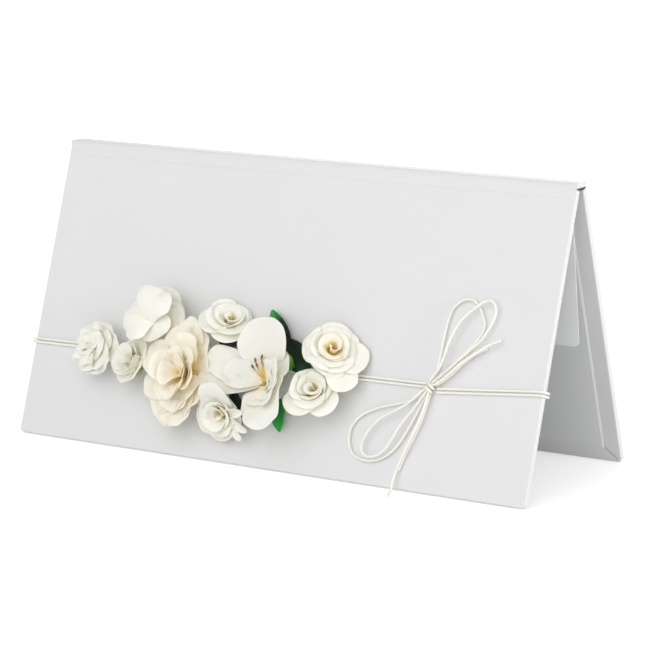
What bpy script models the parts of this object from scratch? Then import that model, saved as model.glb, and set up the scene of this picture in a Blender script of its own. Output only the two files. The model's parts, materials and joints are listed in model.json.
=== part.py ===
# Money gift wallet: two covered boards hinged at a narrow spine along the top, standing as a
# tent, with a note flap hung inside, and paper blooms and a twine bow on the front cover.
# Run it with blender --background --python part.py, or from the text editor.

import math
from dataclasses import dataclass

import bpy
import bmesh
from mathutils import Matrix, Vector

for old_object in list(bpy.data.objects):
    bpy.data.objects.remove(old_object, do_unlink=True)


# Driving sizes of the covers and spine, in metres; angles are in degrees

cover_length = 0.185        # along the spine
cover_height = 0.0958       # from the crease to the foot, on the outer face
spine_width = 0.0061        # between the covers' outer faces at the creases
tent_angle = 19.0           # each cover's lean from upright
flap_angle = 8.0            # the note flap's lean, towards the back cover
bloom_reach = 0.0080        # how far the lowest blooms stand forward of the front cover's foot

paper = 0.0002              # covering and lining paper
board = 0.00125             # grey board inside each cover
spine_card_depth = 0.0005
seat_gap = 0.00025          # between glued layers
crease_gap = 0.0003         # between a cover's edge and its crease line
turn_in = 0.012             # covering paper folded over onto the inside
mitre_gap = 0.0003          # slit between two turn-ins at a corner
lining_inset = 0.0051       # the lining stops short of the cover's edges
corner_radius = 0.0012
edge_round = 0.00035        # the covering paper's soft edge
spine_round = 0.0008
flap_inset = 0.0033         # the note flap stops short of the cover's ends
flap_length = 0.0505
flap_corner_radius = 0.0018
overrun = 0.001             # how far a cutter passes the face it cuts

twine_radius = 0.0004
twine_gap = 0.0003

petal_paper = 0.0003
petal_gap = 0.0003          # between a bloom and the blooms that press on it
calyx_gap = 0.0003          # between a calyx and the petals seated on it
calyx_foot_radius = 0.0013
foot_gap = 0.0003           # between a bloom's foot, a leaf or a bud and what it stands on

# Depths through one cover, from its outer face inwards

board_front = paper + seat_gap
turned_depth = board_front + board + seat_gap + paper
lining_front = turned_depth + seat_gap
cover_depth = lining_front + paper

# Heights in the standing tent

lean = math.radians(tent_angle)
foot_middle_height = edge_round     # the middle of the round edge that each cover stands on
crease_height = (
    foot_middle_height
    + (cover_height - edge_round) * math.cos(lean)
    + (turned_depth - edge_round) * math.sin(lean)
)
spine_middle = bloom_reach / 2


# Finishes

def finish(name, colour, roughness, metallic=0.0):
    material = bpy.data.materials.new(name)
    material.use_nodes = True
    shader = material.node_tree.nodes["Principled BSDF"]
    shader.inputs["Base Color"].default_value = (*colour, 1.0)
    shader.inputs["Roughness"].default_value = roughness
    shader.inputs["Metallic"].default_value = metallic
    return material


pearl_paper = finish("pearl_paper", (0.80, 0.80, 0.81), 0.55)
lining_paper = finish("lining_paper", (0.72, 0.73, 0.73), 0.60)
flap_paper = finish("flap_paper", (0.78, 0.78, 0.78), 0.60)
grey_board = finish("grey_board", (0.42, 0.40, 0.37), 0.85)
ivory_twine = finish("ivory_twine", (0.80, 0.76, 0.66), 0.50)
white_petal = finish("white_petal", (0.85, 0.83, 0.78), 0.70)
cream_petal = finish("cream_petal", (0.84, 0.76, 0.58), 0.70)
gold_petal = finish("gold_petal", (0.80, 0.58, 0.20), 0.70)
calyx_green = finish("calyx_green", (0.42, 0.48, 0.22), 0.70)
leaf_green = finish("leaf_green", (0.05, 0.32, 0.07), 0.60)


# Building helpers

def add_empty(name, location, turn_about_x=0.0):
    empty = bpy.data.objects.new(name, None)
    bpy.context.collection.objects.link(empty)
    empty.location = location
    empty.rotation_euler = (turn_about_x, 0.0, 0.0)
    return empty


def add_object(name, data, material, parent):
    piece = bpy.data.objects.new(name, data)
    bpy.context.collection.objects.link(piece)
    if material is not None:
        data.materials.append(material)
    piece.parent = parent
    return piece


def rounded_outline(left, right, bottom, top, low_radius, high_radius=0.0, steps=4):
    # Corner points of a plate, counter-clockwise, with its low and high corners rounded
    corners = [
        (left, bottom, low_radius, 180.0),
        (right, bottom, low_radius, 270.0),
        (right, top, high_radius, 0.0),
        (left, top, high_radius, 90.0),
    ]
    outline = []
    for across, up, radius, start in corners:
        if radius == 0.0:
            outline.append((across, up))
            continue
        middle_across = across + (radius if across == left else -radius)
        middle_up = up + (radius if up == bottom else -radius)
        for step in range(steps + 1):
            angle = math.radians(start + 90.0 * step / steps)
            point = (middle_across + radius * math.cos(angle), middle_up + radius * math.sin(angle))
            outline.append(point)
    return outline


def prism(name, outline, start, end, material, parent, along="Y"):
    # A closed solid: the outline stands in XZ and runs along Y, or stands in YZ and runs along X
    mesh = bpy.data.meshes.new(name)
    shape = bmesh.new()
    if along == "Y":
        ring = [shape.verts.new((across, start, up)) for across, up in outline]
        travel = Vector((0.0, end - start, 0.0))
    else:
        ring = [shape.verts.new((start, across, up)) for across, up in outline]
        travel = Vector((end - start, 0.0, 0.0))
    face = shape.faces.new(ring)
    grown = bmesh.ops.extrude_face_region(shape, geom=[face])
    moved = [item for item in grown["geom"] if isinstance(item, bmesh.types.BMVert)]
    bmesh.ops.translate(shape, verts=moved, vec=travel)
    bmesh.ops.recalc_face_normals(shape, faces=shape.faces)
    shape.to_mesh(mesh)
    shape.free()
    return add_object(name, mesh, material, parent)


def cut(piece, cutter):
    cutter.hide_render = True
    cutter.display_type = "WIRE"
    boolean = piece.modifiers.new("cut_" + cutter.name, "BOOLEAN")
    boolean.operation = "DIFFERENCE"
    boolean.solver = "EXACT"
    boolean.object = cutter


def soften(piece, width, segments=2):
    bevel = piece.modifiers.new("soft_edge", "BEVEL")
    bevel.width = width
    bevel.segments = segments
    bevel.limit_method = "ANGLE"
    bevel.angle_limit = math.radians(60.0)


def smooth(piece, angle=40.0):
    piece.data.shade_smooth()
    piece.data.set_sharp_from_angle(angle=math.radians(angle))


# The creases: each cover's outer face hangs from its crease line, and z runs up the cover

front_crease = add_empty(
    "front_crease", (0.0, spine_middle - spine_width / 2, crease_height), -lean
)
back_crease = add_empty(
    "back_crease", (0.0, spine_middle + spine_width / 2, crease_height), lean
)
flap_crease = add_empty(
    "flap_crease", (0.0, spine_middle, crease_height), math.radians(flap_angle)
)
spine_frame = add_empty("spine_frame", (0.0, spine_middle, crease_height))

half_length = cover_length / 2
cover_top = -crease_gap
cover_foot = -cover_height


# Covers: a grey board in a tray of covering paper, with a lining pasted over the turn-ins.
# Inwards is +1 where the cover's inside lies towards +Y, and -1 where it lies towards -Y

def covering(name, parent, inwards):
    outline = rounded_outline(-half_length, half_length, cover_foot, cover_top, corner_radius)
    wrap = prism(name, outline, 0.0, inwards * turned_depth, pearl_paper, parent)
    soften(wrap, edge_round)
    inner_radius = corner_radius - paper
    hollow_outline = rounded_outline(
        -half_length + paper, half_length - paper, cover_foot + paper, overrun, inner_radius
    )
    hollow = prism(
        name + "_hollow", hollow_outline, inwards * paper, inwards * (turned_depth - paper), None, parent
    )
    cut(wrap, hollow)
    window_outline = rounded_outline(
        -half_length + turn_in, half_length - turn_in, cover_foot + turn_in, overrun, 0.0
    )
    window = prism(
        name + "_window",
        window_outline,
        inwards * (paper + board),
        inwards * (turned_depth + overrun),
        None,
        parent,
    )
    cut(wrap, window)
    for side in (-1, 1):
        # A slit along the mitre, through the turned-in layer only, from the window to the corner
        corner = Vector((side * (half_length - corner_radius), 0.0, cover_foot + corner_radius))
        inner = Vector((side * (half_length - turn_in - overrun), 0.0, cover_foot + turn_in + overrun))
        run = (inner - corner).normalized()
        across = Vector((-run.z, 0.0, run.x)) * mitre_gap / 2
        points = [corner + across, corner - across, inner - across, inner + across]
        outline = [(point.x, point.z) for point in points]
        slit = prism(
            name + "_mitre_" + ("left" if side < 0 else "right"),
            outline,
            inwards * (turned_depth - paper - seat_gap / 2),
            inwards * (turned_depth + overrun),
            None,
            parent,
        )
        cut(wrap, slit)
    smooth(wrap)
    return wrap


def cover_board(name, parent, inwards):
    inset = paper + seat_gap
    outline = rounded_outline(
        -half_length + inset,
        half_length - inset,
        cover_foot + inset,
        cover_top,
        corner_radius - paper,
    )
    return prism(
        name, outline, inwards * board_front, inwards * (board_front + board), grey_board, parent
    )


def cover_lining(name, parent, inwards):
    outline = rounded_outline(
        -half_length + lining_inset,
        half_length - lining_inset,
        cover_foot + lining_inset,
        cover_top - crease_gap,
        0.0,
    )
    return prism(
        name, outline, inwards * lining_front, inwards * cover_depth, lining_paper, parent
    )


covering("front_wrap", front_crease, 1)
cover_board("front_board", front_crease, 1)
cover_lining("front_lining", front_crease, 1)
covering("back_wrap", back_crease, -1)
cover_board("back_board", back_crease, -1)
cover_lining("back_lining", back_crease, -1)


# Spine: a strip of card between its lining and the covering paper, which laps its long edges
# and ends. Everything stays above the crease lines, so the covers' top edges swing clear

spine_rise = 2 * paper + 2 * seat_gap + spine_card_depth + paper
spine_inset = paper + seat_gap

spine_wrap = prism(
    "spine_wrap",
    rounded_outline(-spine_width / 2, spine_width / 2, 0.0, spine_rise, 0.0, spine_round),
    -half_length,
    half_length,
    pearl_paper,
    spine_frame,
    along="X",
)
spine_hollow = prism(
    "spine_hollow",
    rounded_outline(
        -spine_width / 2 + paper,
        spine_width / 2 - paper,
        -overrun,
        spine_rise - paper,
        0.0,
        spine_round - paper,
    ),
    -half_length + paper,
    half_length - paper,
    None,
    spine_frame,
    along="X",
)
cut(spine_wrap, spine_hollow)
smooth(spine_wrap)

spine_card_low = paper + seat_gap
spine_card = prism(
    "spine_card",
    rounded_outline(
        -spine_width / 2 + 2 * spine_inset,
        spine_width / 2 - 2 * spine_inset,
        spine_card_low,
        spine_card_low + spine_card_depth,
        0.0,
    ),
    -half_length + spine_inset,
    half_length - spine_inset,
    grey_board,
    spine_frame,
    along="X",
)
spine_lining = prism(
    "spine_lining",
    rounded_outline(
        -spine_width / 2 + spine_inset, spine_width / 2 - spine_inset, 0.0, paper, 0.0
    ),
    -half_length + lining_inset,
    half_length - lining_inset,
    lining_paper,
    spine_frame,
    along="X",
)

# The note flap hangs from the middle of the spine's lining and leans towards the back cover

note_flap = prism(
    "note_flap",
    rounded_outline(
        -half_length + flap_inset,
        half_length - flap_inset,
        -flap_length,
        -crease_gap,
        flap_corner_radius,
        0.0,
        6,
    ),
    -paper / 2,
    paper / 2,
    flap_paper,
    flap_crease,
)


# Twine: a double strand round the front cover, tied in a bow. Places on the front cover are
# given as (along, down, out): along the spine, down from the crease, out from the outer face

def on_cover(along, down, out):
    return Vector((along, -out, -down))


def catmull_rom(points, spacing):
    # Points about one spacing apart on a smooth curve through the route's own points
    padded = [2 * points[0] - points[1], *points, 2 * points[-1] - points[-2]]
    path = []
    for index in range(1, len(padded) - 2):
        before, start, end, after = padded[index - 1:index + 3]
        steps = max(1, round((end - start).length / spacing))
        for step in range(steps):
            t = step / steps
            path.append(
                0.5 * (
                    2 * start
                    + (end - before) * t
                    + (2 * before - 5 * start + 4 * end - after) * t ** 2
                    + (3 * start - before - 3 * end + after) * t ** 3
                )
            )
    path.append(points[-1])
    return path


def tube(name, path, radius, parent, resolution=2, material=ivory_twine):
    curve = bpy.data.curves.new(name, "CURVE")
    curve.dimensions = "3D"
    curve.bevel_depth = radius
    curve.bevel_resolution = resolution
    curve.use_fill_caps = True
    spline = curve.splines.new("POLY")
    spline.points.add(len(path) - 1)
    for point, place in zip(spline.points, path):
        point.co = (*place, 1.0)
    return add_object(name, curve, material, parent)


twine_spacing = 5 * twine_radius
twine_pitch = 2 * twine_radius + twine_gap      # between the middles of two strands side by side
face_out = twine_gap + twine_radius             # a strand's middle above the face it lies on

# The knot: a short winding of two turns across the bow, along the bow's own slant

knot_along = 0.0559
knot_down = 0.0642
knot_slant = 60.0
knot_turns = 2
knot_winding_radius = 0.00115
knot_turn_gap = 0.0005      # between the knot's two turns
knot_pitch = 2 * twine_radius + knot_turn_gap
knot_out = face_out + knot_winding_radius
knot_steps = 14
knot_slope = Vector((math.cos(math.radians(knot_slant)), math.sin(math.radians(knot_slant))))
knot_end = knot_turns * knot_pitch / 2 + twine_radius + twine_gap


def by_knot(reach, across, out):
    # A place near the knot: reach up along the bow's slant, across it, and out from the face
    along = knot_along + reach * knot_slope.x + across * knot_slope.y
    down = knot_down - reach * knot_slope.y + across * knot_slope.x
    return on_cover(along, down, out)


def knot_path():
    path = []
    count = knot_turns * knot_steps
    for step in range(count + 1):
        angle = math.tau * step / knot_steps
        reach = knot_pitch * knot_turns * (step / count - 0.5)
        across = knot_winding_radius * math.sin(angle)
        out = knot_out - knot_winding_radius * math.cos(angle)
        path.append(by_knot(reach, across, out))
    return path


def least_gap_in_winding(path, radius):
    least = math.inf
    for index, place in enumerate(path):
        for other in path[index + knot_steps // 2:]:
            least = min(least, (place - other).length - 2 * radius)
    return least


winding = knot_path()
tube("bow_knot", winding, twine_radius, front_crease)
print("least gap in the knot's winding, mm:", round(1000 * least_gap_in_winding(winding, twine_radius), 3))

# The band: two strands from the knot's left side round the cover and back to its right side

band_left_down = 0.0649
band_right_down = 0.0612
knot_side = knot_winding_radius + twine_radius + twine_gap
knot_skew = 0.0006          # the strands leave the knot's two sides this far above and below its middle
inside_out = -(cover_depth + twine_gap + twine_radius)
edge_along = half_length + twine_gap + twine_radius
edge_ease = 0.0016          # how far from the cover's edge a strand starts to turn round it


def round_the_edge(side, down):
    # From the front face round one end of the cover to the inside, as a soft half turn
    turn = 3 * twine_radius / 5
    places = [
        (half_length - edge_ease, face_out),
        (half_length + turn / 2, face_out - turn / 6),
        (edge_along - turn / 2, turn),
        (edge_along, -turned_depth * 0.3),
        (edge_along, -turned_depth * 0.8),
        (edge_along - turn / 2, -turned_depth - turn),
        (half_length + turn / 2, inside_out + turn / 2),
        (half_length - edge_ease, inside_out),
    ]
    return [on_cover(side * along, down, out) for along, out in places]


def band_strand(name, step):
    # Step is 0 for the upper strand and 1 for the lower one, a pitch further down
    offset = step * twine_pitch
    knot_offset = (step - 0.5) * twine_pitch
    left_start = on_cover(knot_along - knot_side, knot_down + knot_offset - knot_skew, face_out)
    right_end = on_cover(knot_along + knot_side, knot_down + knot_offset + knot_skew, face_out)
    left_down = band_left_down + offset
    right_down = band_right_down + offset
    path = [left_start]
    path += round_the_edge(-1, left_down)
    path += reversed(round_the_edge(1, right_down))
    path.append(right_end)
    return tube(name, path, twine_radius, front_crease)


band_strand("twine_band_upper", 0)
band_strand("twine_band_lower", 1)

# The bow's loops and tails leave the knot's two ends in a lower and an upper row, three wide

lower_row = knot_out - 0.55 * twine_pitch
upper_row = knot_out + 0.55 * twine_pitch


def bow_stretch(name, start, route, end=None):
    places = [by_knot(*start)]
    places += [on_cover(along, down, out) for along, down, out in route]
    if end is not None:
        places.append(by_knot(*end))
    tube(name, catmull_rom(places, twine_spacing), twine_radius, front_crease)


upper_loop_1_route = [
    (0.0570, 0.0575, 0.0012), (0.0572, 0.0519, 0.0011), (0.0576, 0.0445, 0.0010),
    (0.0589, 0.0394, 0.0010), (0.0618, 0.0368, 0.0010), (0.0649, 0.0365, 0.0010),
    (0.0673, 0.0383, 0.0010), (0.0691, 0.0410, 0.0010), (0.0701, 0.0437, 0.0010),
    (0.0692, 0.0469, 0.0010), (0.0668, 0.0506, 0.0010), (0.0632, 0.0548, 0.0011),
    (0.0603, 0.0586, 0.0012),
]
upper_loop_2_route = [
    (0.0586, 0.0575, 0.0029), (0.0602, 0.0498, 0.0029), (0.0624, 0.0440, 0.0027),
    (0.0653, 0.0402, 0.0025), (0.0678, 0.0380, 0.0024), (0.0704, 0.0363, 0.0022),
    (0.0725, 0.0368, 0.0020), (0.0735, 0.0390, 0.0018), (0.0731, 0.0418, 0.0017),
    (0.0721, 0.0446, 0.0018), (0.0700, 0.0486, 0.0021), (0.0664, 0.0528, 0.0025),
    (0.0626, 0.0569, 0.0028),
]
upper_tail_1_route = [
    (0.0620, 0.0595, 0.0030), (0.0652, 0.0560, 0.0030), (0.0690, 0.0528, 0.0028),
    (0.0730, 0.0497, 0.0025), (0.0769, 0.0476, 0.0022),
]
upper_tail_2_route = [
    (0.0616, 0.0598, 0.0012), (0.0648, 0.0560, 0.0011), (0.0686, 0.0526, 0.0010),
    (0.0722, 0.0504, 0.0009),
]
lower_loop_1_route = [
    (0.0506, 0.0684, 0.0012), (0.0456, 0.0703, 0.0011), (0.0402, 0.0719, 0.0010),
    (0.0351, 0.0743, 0.0010), (0.0319, 0.0772, 0.0010), (0.0306, 0.0806, 0.0010),
    (0.0310, 0.0842, 0.0009), (0.0329, 0.0872, 0.0009), (0.0364, 0.0886, 0.0009),
    (0.0402, 0.0884, 0.0009), (0.0441, 0.0866, 0.0009), (0.0473, 0.0834, 0.0010),
    (0.0493, 0.0798, 0.0010), (0.0512, 0.0756, 0.0011), (0.0529, 0.0712, 0.0012),
]
lower_loop_2_route = [
    (0.0502, 0.0695, 0.0029), (0.0461, 0.0724, 0.0028), (0.0416, 0.0751, 0.0026),
    (0.0384, 0.0784, 0.0024), (0.0365, 0.0819, 0.0022), (0.0360, 0.0849, 0.0021),
    (0.0374, 0.0871, 0.0021), (0.0402, 0.0873, 0.0022), (0.0430, 0.0859, 0.0023),
    (0.0451, 0.0834, 0.0024), (0.0466, 0.0802, 0.0025), (0.0486, 0.0762, 0.0026),
    (0.0517, 0.0716, 0.0028),
]
lower_tail_1_route = [
    (0.0555, 0.0705, 0.0030), (0.0546, 0.0743, 0.0029), (0.0533, 0.0782, 0.0027),
    (0.0519, 0.0820, 0.0024), (0.0505, 0.0858, 0.0021), (0.0492, 0.0896, 0.0018),
    (0.0486, 0.0930, 0.0019), (0.0494, 0.0967, 0.0038), (0.0509, 0.09855, 0.0078),
]
lower_tail_2_route = [
    (0.0551, 0.0709, 0.0012), (0.0543, 0.0748, 0.0011), (0.0530, 0.0790, 0.0010),
    (0.0516, 0.0830, 0.0010), (0.0503, 0.0868, 0.0009), (0.0494, 0.0902, 0.0009),
]

bow_stretch(
    "bow_upper_loop_1",
    (knot_end, -twine_pitch, lower_row),
    upper_loop_1_route,
    (knot_end, 0.0, lower_row),
)
bow_stretch(
    "bow_upper_loop_2",
    (knot_end, -twine_pitch, upper_row),
    upper_loop_2_route,
    (knot_end, 0.0, upper_row),
)
bow_stretch("bow_upper_tail_1", (knot_end, twine_pitch, upper_row), upper_tail_1_route)
bow_stretch("bow_upper_tail_2", (knot_end, twine_pitch, lower_row), upper_tail_2_route)
bow_stretch(
    "bow_lower_loop_1",
    (-knot_end, -twine_pitch, lower_row),
    lower_loop_1_route,
    (-knot_end, 0.0, lower_row),
)
bow_stretch(
    "bow_lower_loop_2",
    (-knot_end, -twine_pitch, upper_row),
    lower_loop_2_route,
    (-knot_end, 0.0, upper_row),
)
bow_stretch("bow_lower_tail_1", (-knot_end, twine_pitch, upper_row), lower_tail_1_route)
bow_stretch("bow_lower_tail_2", (-knot_end, twine_pitch, lower_row), lower_tail_2_route)


# Blooms: each sits on the front cover at its seat, turned towards its own side. Seats are shares
# of half the cover's length, and of the cluster's reach above and below the twine band

cluster_reach = 0.020
stem_length = 0.0033            # from a bloom's foot to its petals' base
ball_bloom_radius = 0.0082      # reach of the outermost petals, square to the bloom's axis
open_bloom_radius = 0.0104
rosebud_radius = 0.0080
frilled_bloom_radius = 0.0174
upper_rose_radius = 0.0086
stamen_bloom_radius = 0.0176
lower_rose_radius = 0.0082
large_rose_radius = 0.0096
round_rose_radius = 0.0088
bloom_middle_share = 0.45       # a bloom's middle lies this far out along its axis, of its radius


def place_by_band(along_share, below_share):
    # A place on the front cover, (along, down), counted from the middle of the band's left stretch
    along = along_share * half_length
    left_middle = band_left_down + twine_pitch / 2
    right_middle = knot_down - knot_skew
    right_along = knot_along - knot_side
    share = (along + half_length) / (right_along + half_length)
    band_down = left_middle + (right_middle - left_middle) * share
    return along, band_down + below_share * cluster_reach


@dataclass
class Bloom:
    radius: float
    along_share: float
    below_share: float
    right_tilt: float           # degrees towards the cover's right end
    up_tilt: float              # degrees towards the crease
    spin: float                 # degrees about the bloom's own axis
    width_share: float          # its reach along the cover against its radius
    over_twine: bool = False    # its foot stands on the twine band, not on the cover

    def foot_out(self):
        # The foot's height above the cover's face
        band = face_out + twine_radius if self.over_twine else 0.0
        return band + foot_gap

    def seat(self):
        along, down = place_by_band(self.along_share, self.below_share)
        return Vector((along, -down))

    def middle(self):
        # Where the bloom's middle is seen from the front: a tilted bloom leans away from its seat
        right = math.radians(self.right_tilt)
        up = math.radians(self.up_tilt)
        axis = Vector((math.sin(right) * math.cos(up), math.sin(up)))
        return self.seat() + axis * self.radius * bloom_middle_share

    def reach_towards(self, facing):
        # The rim's distance from the middle, seen from the front
        return self.radius / math.hypot(facing.x / self.width_share, facing.y)


blooms = {
    "ball_bloom": Bloom(ball_bloom_radius, -0.6919, 0.0565, -8.0, 6.0, 20.0, 1.0, True),
    "open_bloom": Bloom(open_bloom_radius, -0.4508, -0.4387, -2.0, 14.0, -14.0, 1.0),
    "rosebud": Bloom(rosebud_radius, -0.5178, 0.2122, -22.0, 12.0, 0.0, 0.98),
    "frilled_bloom": Bloom(frilled_bloom_radius, -0.3038, 0.3104, -2.0, 3.0, 14.0, 0.76),
    "upper_rose": Bloom(upper_rose_radius, -0.1816, -0.5971, 26.0, 30.0, 0.0, 1.04),
    "stamen_bloom": Bloom(stamen_bloom_radius, 0.0043, 0.2843, -8.0, 10.0, 8.0, 0.95),
    "lower_rose": Bloom(lower_rose_radius, -0.1481, 0.7950, 2.0, -24.0, 60.0, 1.0),
    "large_rose": Bloom(large_rose_radius, 0.2324, -0.3266, 28.0, 22.0, 0.0, 1.0),
    "round_rose": Bloom(round_rose_radius, 0.1881, 0.3257, 13.0, 20.0, 90.0, 1.0),
}

reach_bins = 72
rim_press = 0.2             # how much of a bloom's reach its rim alone gives up to a neighbour


def bloom_frame(bloom):
    # The bloom's own frame in its crease's: z runs out along the bloom's axis
    place = bloom.seat()
    seat = on_cover(place.x, -place.y, bloom.foot_out() + stem_length)
    facing = Matrix.Rotation(math.radians(90.0), 4, "X")
    tilt = Matrix.Rotation(math.radians(bloom.right_tilt), 4, "Z")
    tip = Matrix.Rotation(math.radians(-bloom.up_tilt), 4, "X")
    spin = Matrix.Rotation(math.radians(bloom.spin), 4, "Z")
    widen = Matrix.Diagonal((bloom.width_share, 1.0, 1.0, 1.0))
    return Matrix.Translation(seat) @ tilt @ tip @ facing @ widen @ spin


def neighbour_limits(name):
    # Where each crowded neighbour meets this bloom: a direction, and a distance from its middle
    bloom = blooms[name]
    middle = bloom.middle()
    limits = []
    for other_name, other in blooms.items():
        if other_name == name:
            continue
        between = other.middle() - middle
        distance = between.length
        facing = between / distance
        reach = bloom.reach_towards(facing)
        own_share = reach / (reach + other.reach_towards(facing))
        limits.append((facing, distance * own_share - petal_gap / 2 - petal_paper / 2))
    return middle, limits


def pressed(name, sheets):
    # Draws in what would reach into a neighbour, towards the bloom's own middle, all whorls alike:
    # the rim gives way first, and what it can't give up is taken from the whole bloom
    middle, limits = neighbour_limits(name)
    reach = [petal_paper] * reach_bins
    for sheet in sheets:
        for row in sheet:
            for place in row:
                offset = Vector((place.x, place.z)) - middle
                turn = math.atan2(offset.y, offset.x) / math.tau * reach_bins
                for shift in (-1, 0, 1, 2):
                    index = (math.floor(turn) + shift) % reach_bins
                    reach[index] = max(reach[index], offset.length)
    allowed = []
    for index in range(reach_bins):
        angle = math.tau * index / reach_bins
        facing = Vector((math.cos(angle), math.sin(angle)))
        share = 1.0
        for direction, distance in limits:
            towards = facing.dot(direction)
            if towards > 0.05:
                share = min(share, distance / (towards * reach[index]))
        allowed.append(share)
    result = []
    for sheet in sheets:
        rows = []
        for row in sheet:
            places = []
            for place in row:
                offset = Vector((place.x, place.z)) - middle
                turn = math.atan2(offset.y, offset.x) / math.tau * reach_bins
                low = math.floor(turn)
                blend = turn - low
                bins = (low % reach_bins, (low + 1) % reach_bins)
                share = (1 - blend) * allowed[bins[0]] + blend * allowed[bins[1]]
                full_reach = (1 - blend) * reach[bins[0]] + blend * reach[bins[1]]
                rim_share = min(rim_press, 1 - share)
                whole_share = share / (1 - rim_share)
                run = min(1.0, offset.length / full_reach)
                kept = middle + offset * whole_share * (1 - rim_share * run)
                places.append(Vector((kept.x, place.y, kept.y)))
            rows.append(places)
        result.append(rows)
    return result


def sheet_mesh(name, rows, closed):
    # Quads between rows of points; a closed sheet joins its last row to its first
    mesh = bpy.data.meshes.new(name)
    shape = bmesh.new()
    grid = [[shape.verts.new(place) for place in row] for row in rows]
    pairs = list(zip(grid, grid[1:]))
    if closed:
        pairs.append((grid[-1], grid[0]))
    for first, second in pairs:
        for index in range(len(first) - 1):
            shape.faces.new((first[index], first[index + 1], second[index + 1], second[index]))
    shape.to_mesh(mesh)
    shape.free()
    return mesh


def petal_piece(name, rows, closed, material, depth=petal_paper):
    piece = add_object(name, sheet_mesh(name, rows, closed), material, front_crease)
    solid = piece.modifiers.new("paper", "SOLIDIFY")
    solid.thickness = depth
    solid.offset = 0.0
    smooth(piece, 50.0)
    return piece


def ease(share):
    return share * share * (3 - 2 * share)


def spiral_petals(start, end, bloom, shape):
    # Petals cut along one strip and wound round the heart: turn by turn the strip leans further
    # out and its rim curls back. Start and end are in turns; shape is a RoseShape
    rows = []
    per_turn = shape.steps
    count = max(4, round((end - start) * per_turn))
    for index in range(count + 1):
        turn = start + (end - start) * index / count
        open_share = min(1.0, turn / shape.turns)
        base = rose_heart_radius + rose_growth * turn
        lean_angle = shape.first_lean + (shape.last_lean - shape.first_lean) * ease(open_share)
        curl = shape.curl * open_share
        petal = (turn * shape.petals_per_turn) % 1.0
        notch = shape.notch * (0.35 + 0.65 * open_share)
        rim = 1.0 - notch * abs(2 * petal - 1) ** 3
        ends = min(index, count - index) / count
        rim *= 0.72 + 0.28 * min(1.0, ends * 6)
        reach = bloom.radius - base
        heart_height = bloom.radius * shape.heart_share
        length = (heart_height * (1 - open_share) + reach * open_share) * rim
        length = max(length, heart_height / 2)
        angle = math.tau * turn
        place_radius = base
        place_height = 0.0
        row = []
        steps = shape.rows
        for step in range(steps + 1):
            row.append(
                Vector((place_radius * math.cos(angle), place_radius * math.sin(angle), place_height))
            )
            share = (step + 0.5) / steps
            wave = shape.wave * math.sin(math.tau * petal * 2 + step) * share * open_share
            slope = math.radians(min(lean_angle + curl * share ** 2 + wave, shape.steepest))
            place_radius += length / steps * math.sin(slope)
            place_height += length / steps * math.cos(slope)
        rows.append(row)
    return rows


@dataclass
class RoseShape:
    turns: float
    heart_share: float          # the heart's height, of the bloom's radius
    first_lean: float = 4.0
    last_lean: float = 70.0
    curl: float = 26.0
    steepest: float = 94.0
    petals_per_turn: float = 2.6
    notch: float = 0.36
    wave: float = 3.0
    steps: int = 16
    rows: int = 3


@dataclass
class WhorlShape:
    petals: int
    reach_share: float          # of the bloom's radius
    tier: int                   # how many hub steps above the bloom's base
    first_lean: float
    last_lean: float
    crimp: float                # degrees of wave along each petal's edge
    notch_share: float = 0.50   # reach between two petals
    fullness: float = 2.2       # how square-shouldered a petal is
    offset: float = 0.0         # degrees
    steps: int = 6              # to each petal
    rows: int = 3


def open_petals(bloom, shape):
    # A ring of petals cut from one sheet, joined at the hub, each one cupped along its length
    rows = []
    count = shape.petals * shape.steps
    reach = bloom.radius * shape.reach_share - hub_radius
    for index in range(count):
        petal = (index / shape.steps) % 1.0
        side = 2 * petal - 1
        lobe = (1 - min(1.0, abs(side)) ** shape.fullness) ** (1 / shape.fullness)
        length = reach * (shape.notch_share + (1 - shape.notch_share) * lobe)
        angle = math.tau * index / count + math.radians(shape.offset)
        place_radius = hub_radius
        place_height = shape.tier * hub_step
        row = []
        for step in range(shape.rows + 1):
            row.append(
                Vector((place_radius * math.cos(angle), place_radius * math.sin(angle), place_height))
            )
            share = (step + 0.5) / shape.rows
            wave = shape.crimp * math.sin(math.tau * petal * 2 + 0.7 * index) * share
            slope = math.radians(
                shape.first_lean + (shape.last_lean - shape.first_lean) * share + wave
            )
            place_radius += length / shape.rows * math.sin(slope)
            place_height += length / shape.rows * math.cos(slope)
        rows.append(row)
    return rows


calyx_sides = 10


def calyx_rings(bloom, top_radius):
    # From a foot cut flat on what it stands on, up to the ring that carries the petals
    frame = bloom_frame(bloom)
    seat = bloom.seat()
    top = []
    for side in range(calyx_sides):
        angle = math.tau * side / calyx_sides
        top.append(
            frame @ Vector((top_radius * math.cos(angle), top_radius * math.sin(angle), -calyx_gap))
        )
    foot = []
    for place in top:
        offset = (Vector((place.x, place.z)) - seat) * calyx_foot_radius / top_radius
        foot.append(on_cover(seat.x + offset.x, -seat.y - offset.y, bloom.foot_out()))
    return [foot, top]


def calyx(name, rings):
    mesh = bpy.data.meshes.new(name)
    shape = bmesh.new()
    foot, top = [[shape.verts.new(place) for place in ring] for ring in rings]
    for side in range(calyx_sides):
        after = (side + 1) % calyx_sides
        shape.faces.new((foot[side], foot[after], top[after], top[side]))
    shape.faces.new(top)
    shape.faces.new(list(reversed(foot)))
    bmesh.ops.recalc_face_normals(shape, faces=shape.faces)
    shape.to_mesh(mesh)
    shape.free()
    piece = add_object(name, mesh, calyx_green, front_crease)
    smooth(piece, 50.0)
    return piece


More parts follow.
